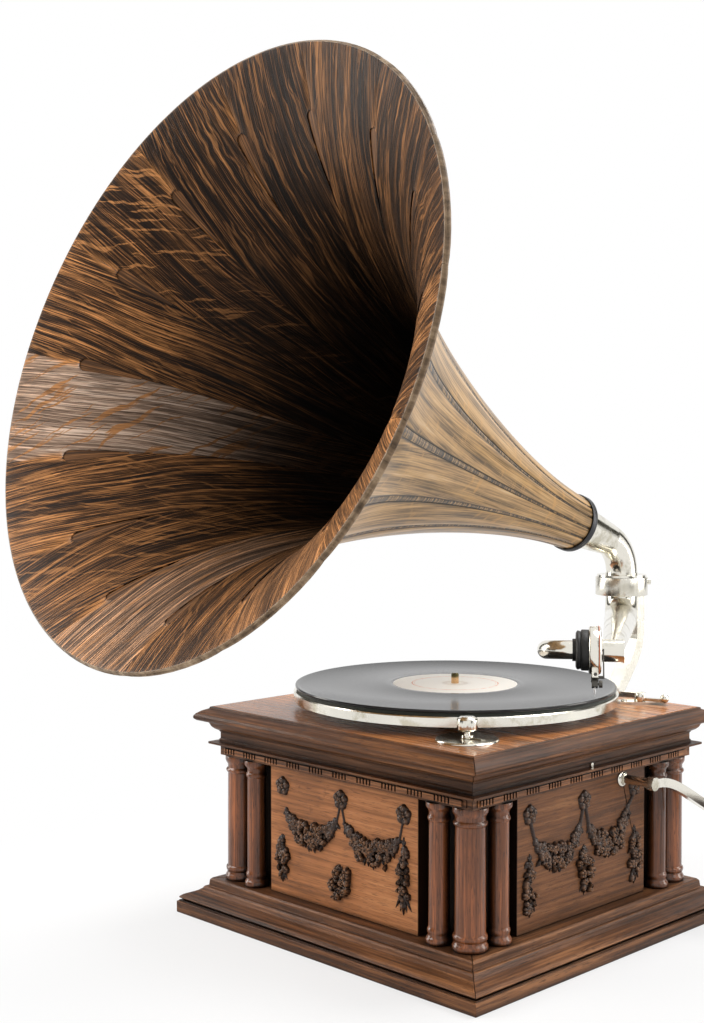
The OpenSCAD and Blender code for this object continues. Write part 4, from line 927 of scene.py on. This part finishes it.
    def drop(self, x, top, bottom, width):
        """A hanging spray: a bow at the top, blossoms, and leaves that end in a point."""
        rng = self.rng
        tall, blossoms = top - bottom, 34
        self.cord(x, top, x, top - tall * 0.2, 0.7, 1.3)
        for side in (-1, 1):
            self.leaf(x, top - tall * 0.1, math.pi / 2 + side * 0.5, 5, 2, 1.6)
        for k in range(blossoms):
            t = 0.12 + 0.74 * (k + rng.random()) / blossoms
            half = width * 0.62 * math.sin(math.pi * t ** 1.25) + 1.0
            self.cluster(x, top - tall * t, half, 2.2 + half * 0.45)
        for side in (-0.6, -0.25, 0.25, 0.6):
            self.leaf(x, bottom + tall * 0.30, -math.pi / 2 + side * 0.9, tall * 0.28, 2.6, 1.9)
        self.leaf(x, bottom + tall * 0.22, -math.pi / 2, tall * 0.24, 3.0, 2.2)

    def piece(self, side, turn):
        """Closes the relief on the panel's face and turns it to its side of the cabinet."""
        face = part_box("panel_front")[0].y
        h = np.where(self.height > self.LEAST, self.height, 0)
        used = np.maximum.reduce([h[:-1, :-1], h[1:, :-1], h[:-1, 1:], h[1:, 1:]]) > 0
        corner = np.zeros(h.shape, bool)
        for a in (slice(None, -1), slice(1, None)):
            for b in (slice(None, -1), slice(1, None)):
                corner[a, b] |= used
        number = -np.ones(h.shape, int)
        number[corner] = np.arange(corner.sum())
        ii, jj = np.nonzero(corner)
        count = len(ii)
        top = np.column_stack([self.xs[ii] * MM, face - h[ii, jj] * MM, self.zs[jj] * MM])
        base = np.column_stack([self.xs[ii] * MM, np.full(count, face), self.zs[jj] * MM])
        ci, cj = np.nonzero(used)
        quad = np.column_stack([number[ci, cj], number[ci + 1, cj],
                                number[ci + 1, cj + 1], number[ci, cj + 1]])
        rows = [quad, quad[:, ::-1] + count]

        # A wall stands wherever the next cell is bare: the way to it, and the wall's ends.
        padded = np.pad(used, 1)
        for di, dj, a, b in ((0, -1, (0, 0), (1, 0)), (1, 0, (1, 0), (1, 1)),
                             (0, 1, (1, 1), (0, 1)), (-1, 0, (0, 1), (0, 0))):
            edge = ~padded[ci + 1 + di, cj + 1 + dj]
            first = number[ci[edge] + a[0], cj[edge] + a[1]]
            second = number[ci[edge] + b[0], cj[edge] + b[1]]
            rows.append(np.column_stack([second, first, first + count, second + count]))
        spin = np.array(Matrix.Rotation(turn, 3, "Z"))
        made = new_piece(
            f"carving_{side}_relief", np.vstack([top, base]) @ spin.T, np.vstack(rows).tolist(),
            "cabinet", "dark_oak", ["carved_oak"], ["carving_" + side], sharp=60)
        add_values(made, "height", np.concatenate([h[ii, jj], np.zeros(count)]) / self.FULL)


# Ornaments of a panel, each with its measures in millimetres; OUTER is how far the outer
# rosettes stand from the panel's middle. The left panel is carved as the front one is.
OUTER = 75.85
ROSETTES = (("rosette", -OUTER, 133), ("rosette", 0, 133), ("rosette", OUTER, 133))
FRONT_CARVING = ROSETTES + (
    ("swag", -71, 111, -5, 113, 82), ("swag", 5, 113, 71, 111, 82),
    ("cord", -5, 113, -1, 127, 0.8, 1.4), ("cord", 5, 113, 1, 127, 0.8, 1.4),
    ("cord", 71, 111, OUTER - 1, 126, 0.8, 1.4),
    ("drop", -OUTER, 88, 45, 9), ("drop", 0, 73, 45, 16), ("drop", OUTER, 113, 48, 9))
RIGHT_CARVING = ROSETTES + (
    ("swag", -69, 109, -6, 112, 79), ("swag", 6, 112, 67, 118, 77),
    ("cord", -69, 109, -OUTER + 1, 126, 1.4, 1.9), ("cord", -6, 112, -2, 126, 1.4, 1.9),
    ("cord", 6, 112, 2, 126, 1.4, 1.9), ("cord", 67, 118, OUTER - 1, 127, 1.4, 1.9),
    ("drop", -OUTER, 99, 46, 10), ("drop", 0, 93, 50, 16), ("drop", OUTER, 97, 44, 11))


class PHONOGRAPH_OT_carvings(bpy.types.Operator):
    """Carves the swags, drops and rosettes of the three ornamented panels"""

    bl_idname = "phonograph.carvings"
    bl_label = "Carved ornament"

    def execute(self, context):
        pitch = sizes().carving_pitch / MM * 1
        for side, seed, turn, carving in (("front", 11, 0.0, FRONT_CARVING),
                                          ("right", 23, math.pi / 2, RIGHT_CARVING),
                                          ("left", 37, -math.pi / 2, FRONT_CARVING)):
            relief = Relief(pitch, seed)
            for ornament, *measures in carving:
                getattr(relief, ornament)(*measures)
            relief.piece(side, turn)
        return {"FINISHED"}


# --------------------------------------------------------------------------
# Horn
# --------------------------------------------------------------------------


class Flare:
    """The horn's profile. u runs from 0 at the throat to 1 at the rim."""

    COLLAR = (0.0, 0.2686, 0.3081)
    BEND = 0.040
    NECK = 0.058
    TILT = math.radians(18.15)
    YAW = math.radians(-2.1)
    STEPS = 600

    def __init__(self):
        s = sizes()
        self.length, self.wall = s.horn_length, s.horn_wall
        self.throat, self.mouth = s.throat_radius, s.mouth_radius
        inner = [self.point(k / self.STEPS, self.wall) for k in range(self.STEPS + 1)]
        self.lengths = [0.0]
        for a, b in zip(inner, inner[1:]):
            self.lengths.append(self.lengths[-1] + math.dist(a, b))

    def radius(self, u):
        return self.throat + (self.mouth - self.throat) * (0.68 * u ** 1.55 + 0.32 * u ** 8)

    def slope(self, u):
        return (self.mouth - self.throat) / self.length * (1.054 * u ** 0.55 + 2.56 * u ** 7)

    def lean(self, u):
        """The slope at u, and the length of the profile there for each unit of height."""
        k = self.slope(u)
        return k, math.sqrt(1 + k * k)

    def point(self, u, depth):
        """(radius, height) at a depth below the outer face."""
        k, n = self.lean(u)
        return self.radius(u) - depth / n, self.length * u + depth * k / n

    def run(self, u):
        """Length along the inner face from the throat."""
        x = min(max(u, 0.0), 1.0) * self.STEPS
        i = min(int(x), self.STEPS - 1)
        return self.lengths[i] + (self.lengths[i + 1] - self.lengths[i]) * (x - i)

    def at_run(self, length):
        return float(np.interp(length, self.lengths, np.linspace(0, 1, self.STEPS + 1)))

    def matrix(self):
        """Places +Z along the horn's axis with the origin at the throat."""
        return Matrix.Translation(self.COLLAR) @ Matrix.Rotation(self.YAW, 4, "Z") \
            @ Matrix.Translation((0, -self.BEND, 0)) \
            @ Matrix.Rotation(math.pi / 2 - self.TILT, 4, "X") \
            @ Matrix.Translation((0, self.BEND, self.NECK))


class PHONOGRAPH_OT_horn(bpy.types.Operator):
    """Builds the staves with their pockets and gouged stops, and the spears between them"""

    bl_idname = "phonograph.horn"
    bl_label = "Spear-tip horn"

    # Depth of the rabbet for a spear, of the pocket for its tip, and half a joint's gap
    rabbet, pocket, gap = 0.0027, 0.0013, 0.00016
    # Where the tips end inside, and where the spears narrow, how long, and end outside
    tip_end, narrow, narrowing, spear_end = 0.938, 0.86, 0.08, 0.94
    # Room beside a spear, and how far a strip stays off the wood below it
    clear, lift = 0.0003, 0.0001
    # Length, half width and depth of the gouge beyond a tip
    gouge_length, gouge_half, gouge_depth = 0.042, 0.0058, 0.0011
    # Points across a stave's outer and inner face, and a strip's face
    outer_points, inner_points, strip_points = 11, 21, 7
    # Rounding of the rim, its rings, and where it starts
    rim_radius, rim_rings, rim_start = 0.0018, 5, 0.9965

    # Each stave's angle of rays in degrees, share of rays and tone. A tone is partly the
    # stave's own and partly painted light: darker for the upper staves, lighter for the lower
    # ones.
    figures = ((4, 0.35, 0.50), (-5, 0.45, 0.78), (38, 0.90, 1.35), (-8, 0.65, 1.65),
               (36, 0.95, 2.90), (-16, 0.70, 1.90), (-33, 0.70, 1.40), (-10, 0.65, 2.65),
               (20, 0.40, 1.60), (-12, 0.25, 2.55), (5, 0.20, 2.50), (12, 0.30, 1.40),
               (-6, 0.45, 0.75), (5, 0.40, 0.62), (-4, 0.35, 0.52))

    def execute(self, context):
        self.flare = flare = Flare()
        self.place = flare.matrix()
        self.tip_run = flare.run(self.tip_end)
        self.half = math.pi / sizes().stave_count

        # Cross-sections: even ones, and more round the tips, in the gouges and at the
        # spears' outer ends
        stops = set(np.linspace(0.0015, 1.0, 64).tolist())
        for k in range(11):
            back = sizes().tip_width * 0.5 * (1 - math.cos(k * math.pi / 20))
            stops.add(flare.at_run(self.tip_run - back))
        stops.update(flare.at_run(self.tip_run + 0.004 * k) for k in range(1, 13))
        stops.update((0.9, 0.915, 0.925, 0.933, self.spear_end))
        self.us = sorted(u for u in stops if u <= 1.0)
        self.staves()
        self.spears()
        self.tips()
        return {"FINISHED"}

    def pocket_half(self, u):
        """Half the width of a spear's tapered end inside the bell."""
        s = sizes()
        back = self.tip_run - self.flare.run(u)
        if back <= 0 or back >= s.tip_length:
            return 0.0
        round_r = s.tip_width / 2
        if back < round_r:
            return math.sqrt(max(0.0, round_r ** 2 - (round_r - back) ** 2))
        return round_r * (1 - (back - round_r) / (s.tip_length - round_r))

    def spear_half(self, u):
        """Half the angle of a spear strip on the outside."""
        full = sizes().spear_angle / 2
        if u < self.narrow:
            return full
        return full * math.sqrt(max(0.0, (self.spear_end - u) / self.narrowing))

    def scoop(self, u, across):
        """Depth of the gouge beyond a spear's tip, across metres from the seam."""
        ahead = self.flare.run(u) - self.tip_run
        if ahead <= 0 or ahead >= self.gouge_length:
            return 0.0
        along = math.sin(math.pi * min(1.0, (ahead + 0.002) / 0.044) ** 0.55)
        half = self.gouge_half * (1 - 0.55 * ahead / self.gouge_length)
        return max(0.0, 1 - (across / half) ** 2) * along

    def loop(self, u, inset):
        """One cross-section of a stave: [(angle, depth, finish, scoop)]."""
        def spread(count, crowd):
            """From -1 to 1, closer together at the ends."""
            for k in range(count):
                t = -1 + 2 * k / (count - 1)
                yield math.copysign(1 - (1 - abs(t)) ** crowd, t) if t else 0.0

        wall, rabbet, floor = self.flare.wall, self.rabbet, self.flare.wall - self.pocket
        r_out, r_in = (self.flare.point(u, depth)[0] for depth in (0, wall))
        outer = self.half - max(self.spear_half(u), self.gap / r_out)
        seam = self.half - self.gap / r_out
        inner = self.half - max(self.pocket_half(u), self.gap) / r_in
        lip = wall - self.pocket * 0.98
        rows = [(t * outer, 0.0007 * abs(t) ** 7 + inset, 0, 0.0)
                for t in spread(self.outer_points, 1.35)]
        rows += [(outer, rabbet, 0, 0.0), (seam, rabbet, 0, 0.0), (seam, floor, 1, 0.0),
                 (inner, lip, 1, 0.0)]
        for t in spread(self.inner_points, 1.8):
            turn = -t * inner
            c = self.scoop(u, (self.half - abs(turn)) * r_in)
            rows.append((turn, wall - self.gouge_depth * c - inset, 1, c))
        return rows + [(-inner, lip, 1, 0.0), (-seam, floor, 1, 0.0), (-seam, rabbet, 1, 0.0),
                       (-outer, rabbet, 0, 0.0)]

    def stations(self):
        """(u, shift along the wall, inset) with a rounded edge at the rim."""
        out = [(u, 0.0, 0.0) for u in self.us if u < 0.996]
        for k in range(self.rim_rings):
            a = k / (self.rim_rings - 1) * math.pi / 2
            out.append((self.rim_start, self.rim_radius * math.sin(a),
                        self.rim_radius * (1 - math.cos(a))))
        return out

    def staves(self):
        f = self.flare
        points, faces, picks, grain, scoops, edges, figures = [], [], [], [], [], [], []
        rings = self.stations()
        for i in range(sizes().stave_count):
            middle = sizes().first_seam + (2 * i + 1) * self.half
            start = len(points)
            turn, amount, shade = self.figures[i % len(self.figures)]
            for u, ahead, inset in rings:
                k, n = f.lean(u)
                rows = self.loop(u, inset)
                widest = max(abs(row[0]) for row in rows[:self.outer_points])
                for away, depth, _, c in rows:
                    r, h = f.point(u, min(max(depth, inset), f.wall - inset))
                    r, h = r + ahead * k / n, h + ahead / n
                    points.append(around(r, middle + away, h, self.place))
                    grain.append((away * r, f.run(u) + ahead, i + 1))
                    figures.append((math.radians(turn), amount, shade))
                    edges.append(min(1.0, abs(away) / widest))
                    scoops.append(c)
            faces += tube_faces(start, len(rings), len(rows))
            sides = [max(row[2], after[2]) for row, after in zip(rows, rows[1:] + rows[:1])]
            picks += sides * (len(rings) - self.rim_rings + 1)
            picks += [2] * (len(rows) * (self.rim_rings - 2)) + [1, 2]
        piece = new_piece("horn_staves_oak", points, faces, "horn", "horn_oak",
                          ["horn_outside", "horn_inside", "horn_rim"], ["horn_staves"], picks, 30)
        for name, values in (("grain", grain), ("figure", figures), ("scoop", scoops),
                             ("edge", edges)):
            add_values(piece, name, values)

    def strip(self, name, us, half_angle, top, bottom, crown, finish, replaced):
        """Thin strips along the seams, between two depths below the outer face. crown is how
        much deeper the top lies at its edges."""
        f = self.flare
        points, faces, grain = [], [], []
        ts = [-1 + 2 * k / (self.strip_points - 1) for k in range(self.strip_points)]
        section = [(t, top + crown * t * t) for t in ts] + [(-t, bottom) for t in ts]
        for i in range(sizes().stave_count):
            seam = sizes().first_seam + 2 * i * self.half
            start = len(points)
            for u in us:
                half = half_angle(u)
                for t, depth in section:
                    r, h = f.point(u, depth)
                    points.append(around(r, seam + t * half, h, self.place))
                    grain.append((t * half * r, f.run(u), i + 21))
            faces += tube_faces(start, len(us), len(section))
        piece = new_piece(name, points, faces, "horn", "dark_oak", [finish], replaced, None, 30)
        add_values(piece, "grain", grain)

    def spears(self):
        f = self.flare
        us = [u for u in self.us if u < self.spear_end - 0.0005]
        self.strip("horn_spear_strips", us,
                   lambda u: self.spear_half(u) - self.clear / f.radius(u),
                   top=0.0004, bottom=self.rabbet - self.lift, crown=0.0004,
                   finish="spear_outside", replaced=["horn_spears"])

    def tips(self):
        f = self.flare
        us = [u for u in self.us if self.pocket_half(u) > 2 * self.clear]
        floor = f.wall - self.pocket
        self.strip("horn_spear_tips", us,
                   lambda u: (self.pocket_half(u) - self.clear) / f.point(u, f.wall)[0],
                   top=floor + 0.0005, bottom=floor + self.lift, crown=-0.0002,
                   finish="spear_inside", replaced=[])


# --------------------------------------------------------------------------
# Record, felt and small parts
# --------------------------------------------------------------------------


class PHONOGRAPH_OT_record(bpy.types.Operator):
    """Turns the record with its raised rim, and lays the bare label on it"""

    bl_idname = "phonograph.record"
    bl_label = "Record and label"

    def execute(self, context):
        low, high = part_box("record")
        r, top, base = high.x, high.z, low.z
        hole, label = 0.00365, sizes().label_radius
        land, band, well = top - 0.0004, top - 0.00025, top - 0.00045
        ring = [(hole, base + 0.0002), (hole + 0.0002, base), (r - 0.0009, base),
                (r - 0.0003, base + 0.0003), (r, base + 0.0010), (r, top - 0.0009),
                (r - 0.0003, top - 0.0002), (r - 0.0010, top), (r - 0.0022, top - 0.0001),
                (r - 0.0030, land), (label + 0.0050, land), (label + 0.0042, band),
                (label + 0.0008, band), (label + 0.0002, well), (hole + 0.0003, well),
                (hole, top - 0.0006)]
        under, face, ridge = top - 0.00044, top - 0.00026, top - 0.00016
        paper = [(hole + 0.0002, under), (label, under), (label, top - 0.00030),
                 (label - 0.0002, face), (0.0170, face), (0.0165, ridge), (0.0158, ridge),
                 (0.0153, face), (hole + 0.0002, face)]
        new_piece("record_disc", *lathe(ring, 256), "turntable", "shellac", ["shellac"],
                  ["record"], sharp=50)
        new_piece("record_label", *lathe(paper, 192), "turntable", "shellac", ["label"],
                  sharp=60)
        return {"FINISHED"}


class PHONOGRAPH_OT_turntable(bpy.types.Operator):
    """Lays the felt on the turntable and finishes the turntable and its spindle"""

    bl_idname = "phonograph.turntable"
    bl_label = "Turntable and felt"

    def execute(self, context):
        low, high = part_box("platter_felt")
        r, base, top = high.x, low.z, high.z
        rng = random.Random(5)
        hole, segments = 0.0042, 240
        profile = [(hole, base), (r - 0.0010, base), (r - 0.0002, base + 0.0007),
                   (r, base + 0.0015), (r - 0.0003, base + 0.0023), (r - 0.0012, top),
                   (hole, top)]
        edge = (2, 3, 4)
        points, faces = lathe(profile, segments)
        size = len(profile)
        for k in range(segments):
            fray = rng.uniform(0, 0.0006)
            for i in edge:
                p = points[k * size + i]
                points[k * size + i] = Vector((p.x * (1 - fray / r), p.y * (1 - fray / r), p.z))
        piece = new_piece("turntable_felt", points, faces, "turntable", "felt", ["felt"],
                          ["platter_felt"])
        dress("platter_nickel", "platter")
        dress("spindle", "spindle")
        dress("brass", "spindle_gears")
        return {"FINISHED"}


class PHONOGRAPH_OT_cabinet(bpy.types.Operator):
    """Finishes the mouldings, columns, panels and top board of the cabinet"""

    bl_idname = "phonograph.cabinet"
    bl_label = "Cabinet"

    def execute(self, context):
        wear = sizes().edge_wear
        dress("cabinet_oak", "base_slab", "base_moulding", "cornice", edge=wear)
        dress("cabinet_oak", "architrave", "frieze", edge=wear * 0.5)
        dress("beaded_oak", "bead_and_reel", edge=wear * 0.5)
        dress("recess_oak", "carcass_walls")
        dress("panel_oak", "panel_front", "panel_back", edge=wear)
        dress("side_panel_dark_and_shaded_oak", "panel_right", "panel_left", edge=wear)
        dress("board_oak", "top_board", edge=wear)
        dress("column_oak", "corner_columns", "side_columns", edge=wear * 0.5)
        dress("nickel", "side_pin")
        return {"FINISHED"}


class PHONOGRAPH_OT_metalwork(bpy.types.Operator):
    """Finishes the bracket, tone arm, sound box, crank, dial and brake"""

    bl_idname = "phonograph.metalwork"
    bl_label = "Metalwork"

    def execute(self, context):
        dress("bracket_nickel", "bracket", edge=0.0012)
        dress("nickel", "bracket_screws", "collar_screw", "horn_elbow", "tone_arm", "gooseneck")
        dress("nickel", "crank_arm", "crank_escutcheon", "speed_knob", "brake_plate",
              "brake_lever", edge=0.0003)
        dress("nickel", "soundbox_shell", "soundbox_cover", edge=0.0002)
        dress("dial_nickel", "speed_dial", edge=0.0003)
        dress("iron", "horn_ring", edge=0.0003)
        dress("rubber", "soundbox_flange", edge=0.0003)
        dress("dark_steel", "stylus_bar", "needle_screw")
        dress("mica", "diaphragm")
        dress("steel", "needle")
        dress("handle", "crank_handle")
        self.brake_pad()
        self.gasket()
        return {"FINISHED"}

    def gasket(self):
        """The edge of the rubber gasket that shows round the sound box."""
        low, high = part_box("diaphragm")
        axis = Vector((0.788, 0.616, 0))
        place = Matrix.Translation((low + high) / 2) \
            @ axis.to_track_quat("Z", "Y").to_matrix().to_4x4()
        r, back, front = 0.02155, 0.0029, 0.0037
        profile = [(r, back), (r + 0.0003, back), (r + 0.0006, 0.0033), (r + 0.0003, front),
                   (r, front)]
        new_piece("soundbox_gasket", *lathe(profile, 96, place), "reproducer", "rubber",
                  ["gasket"])

    def brake_pad(self):
        """A leather block with rounded edges in the place of the plain one."""
        work = bmesh.new()
        work.from_mesh(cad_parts["brake_pad"].data)
        bmesh.ops.remove_doubles(work, verts=work.verts, dist=1e-6)
        bmesh.ops.dissolve_limit(work, angle_limit=0.02, verts=work.verts, edges=work.edges)
        bmesh.ops.bevel(work, geom=work.edges[:], offset=0.0005, segments=3, profile=0.5,
                        affect="EDGES")
        work.verts.index_update()
        points = [v.co.copy() for v in work.verts]
        faces = [[v.index for v in face.verts] for face in work.faces]
        work.free()
        new_piece("brake_pad_leather", points, faces, "brake", "brake_leather", ["leather"],
                  ["brake_pad"], sharp=60)


class PHONOGRAPH_OT_motor(bpy.types.Operator):
    """Finishes the spring motor inside the cabinet"""

    bl_idname = "phonograph.motor"
    bl_label = "Motor"

    def execute(self, context):
        dress("iron", "motor_frame", "governor_brake", "governor_weights")
        dress("steel", "motor_screws", "barrel_arbor", "mainspring", "crank_pinion",
              "ratchet_wheel", "pawl", "intermediate_gear", "governor_shaft")
        dress("brass", "spring_barrel", "governor_disc")
        return {"FINISHED"}


# --------------------------------------------------------------------------
# Stage
# --------------------------------------------------------------------------


def put(name, data, place, back=None):
    """Puts an object into the scene, with its back turned to where back points."""
    made = bpy.data.objects.new(name, data)
    made.location = place
    if back is not None:
        made.rotation_euler = back.to_track_quat("Z", "Y").to_euler()
    bpy.context.scene.collection.objects.link(made)
    return made


class PHONOGRAPH_OT_stage(bpy.types.Operator):
    """Sets up the camera, the pale floor, the soft lights and the white room"""

    bl_idname = "phonograph.stage"
    bl_label = "Stage"

    # Cards that reflections show: turn round the phonograph in degrees, width, and glow
    cards = (("dark_card", -28, 2.0, 0.0), ("dark_card", 85, 1.1, 0.0),
             ("dark_card", 165, 0.7, 0.0), ("dark_card", -95, 0.7, 0.0),
             ("bright_card", -65, 0.7, 7.0), ("bright_card", 133, 0.9, 7.0))
    card_distance, card_height = 2.6, 3

    def execute(self, context):
        scene = context.scene
        stage = scene.phonograph_stage
        self.camera(scene, stage)
        self.world(scene, stage.sky)
        self.floor()
        self.lamp("key_light", stage.key_power, (-1.1, -1.5, 1.5), 1.3)
        self.lamp("fill_light", stage.fill_power, (1.9, 0.1, 0.9), 1.0)
        self.lamp("top_light", stage.top_power, (0.35, 0.8, 1.9), 1.1)
        for name, turn, width, glow in self.cards:
            self.card(name, math.radians(turn), width / 2, glow)
        scene.view_settings.view_transform = "Standard"
        return {"FINISHED"}

    def camera(self, scene, stage):
        turn, drop = stage.camera_turn, stage.camera_drop
        back = Vector((math.sin(turn) * math.cos(drop), -math.cos(turn) * math.cos(drop),
                       math.sin(drop)))
        data = bpy.data.cameras.new("camera")
        data.sensor_fit = "VERTICAL"
        data.sensor_height = 36.0
        data.lens = stage.lens
        data.clip_end = 60.0
        scene.camera = put("camera", data, stage.camera_place, back)

    def world(self, scene, sky):
        """White where it is seen, and dimmer as a light on the phonograph."""
        scene.world = bpy.data.worlds.new("white_room")
        n = Nodes(scene.world)
        strength = n.node("ShaderNodeMapRange", values={
            "Value": n.seen(), "To Min": sky, "To Max": 1.0})
        room = n.node("ShaderNodeBackground", values={
            "Color": (1.0, 1.0, 1.0, 1.0), "Strength": strength})
        n.node("ShaderNodeOutputWorld", values={0: room})

    def floor(self):
        """A round pale floor that runs out into the white of the room."""
        reach, segments = 9, 96
        points = [(0, 0, 0)]
        points += [around(reach, 2 * math.pi * k / segments, 0) for k in range(segments)]
        mesh = bpy.data.meshes.new("floor")
        mesh.from_pydata(points, [], [(0, k + 1, (k + 1) % segments + 1)
                                      for k in range(segments)])
        put("floor", mesh, (0, 0, -0.0002))
        f = Finish("floor_paper", roughness=0.8, specular_ior_level=0.1)
        fibre = f.noise(f.place(), 300.0, 3)
        f.feed("base_color", f.mix(fibre, (0.90, 0.90, 0.90), (0.94, 0.94, 0.94)))
        glow = f.node("ShaderNodeEmission", values={"Color": (1, 1, 1, 1), "Strength": 1.0})

        # The shadow shows under the phonograph, and fades into white further out.
        far = (f.step(f.radius(), 0.28, 0.55) * 0.35 + 0.65) * f.seen()
        both = f.node("ShaderNodeMixShader", values={0: far, 1: f.shader, 2: glow})
        f.tree.links.new(both.socket, f.output.inputs[0])
        mesh.materials.append(f.material)

    def card(self, name, turn, half, glow):
        """A tall card, dark or glowing, that only reflections show."""
        high, far = self.card_height, self.card_distance
        mesh = bpy.data.meshes.new(name)
        mesh.from_pydata([(-half, 0, 0), (half, 0, 0), (half, 0, high), (-half, 0, high)], [],
                         [(0, 1, 2, 3)])
        card = put(name, mesh, (far * math.sin(turn), -far * math.cos(turn), 0))
        card.rotation_euler.z = turn
        for ray in ("camera", "diffuse", "shadow", "transmission", "volume_scatter"):
            setattr(card, "visible_" + ray, False)
        f = Finish(name, roughness=0.9, specular_ior_level=0.0, emission_strength=glow,
                   emission_color=(1.0, 0.97, 0.92))
        f.feed("base_color", f.mix(f.noise(f.place(), 3.0), (0.012, 0.011, 0.006),
                                   (0.040, 0.037, 0.022)))
        mesh.materials.append(f.material)

    def lamp(self, name, energy, place, size):
        data = bpy.data.lights.new(name, "AREA")
        data.energy = energy
        data.shape = "DISK"
        data.size = size
        put(name, data, place, Vector(place) - Vector((0, 0, 0.3)))


class PHONOGRAPH_PT_panel(bpy.types.Panel):
    """Lists the pieces, their sizes and their colours"""

    bl_label = "Phonograph"
    bl_idname = "PHONOGRAPH_PT_panel"
    bl_space_type = "VIEW_3D"
    bl_region_type = "UI"
    bl_category = "Phonograph"

    def draw(self, context):
        for operator in OPERATORS:
            self.layout.operator(operator.bl_idname)
        for name in GROUPS:
            group = getattr(context.scene, name)
            box = self.layout.box()
            for key in group.bl_rna.properties.keys():
                if key not in ("rna_type", "name"):
                    box.prop(group, key)


OPERATORS = (
    PHONOGRAPH_OT_stage,
    PHONOGRAPH_OT_cabinet,
    PHONOGRAPH_OT_carvings,
    PHONOGRAPH_OT_turntable,
    PHONOGRAPH_OT_record,
    PHONOGRAPH_OT_horn,
    PHONOGRAPH_OT_metalwork,
    PHONOGRAPH_OT_motor,
)
GROUPS = {
    "phonograph_sizes": PhonographSizes,
    "phonograph_colours": PhonographColours,
    "phonograph_stage": PhonographStage,
}


def register():
    for item in (*GROUPS.values(), *OPERATORS, PHONOGRAPH_PT_panel):
        bpy.utils.register_class(item)
    for name, group in GROUPS.items():
        setattr(bpy.types.Scene, name, PointerProperty(type=group))


def unregister():
    for name in GROUPS:
        delattr(bpy.types.Scene, name)
    for item in reversed((*GROUPS.values(), *OPERATORS, PHONOGRAPH_PT_panel)):
        bpy.utils.unregister_class(item)


def main():
    register()
    for operator in OPERATORS:
        group, name = operator.bl_idname.split(".")
        getattr(getattr(bpy.ops, group), name)()


if __name__ == "__main__":
    main()
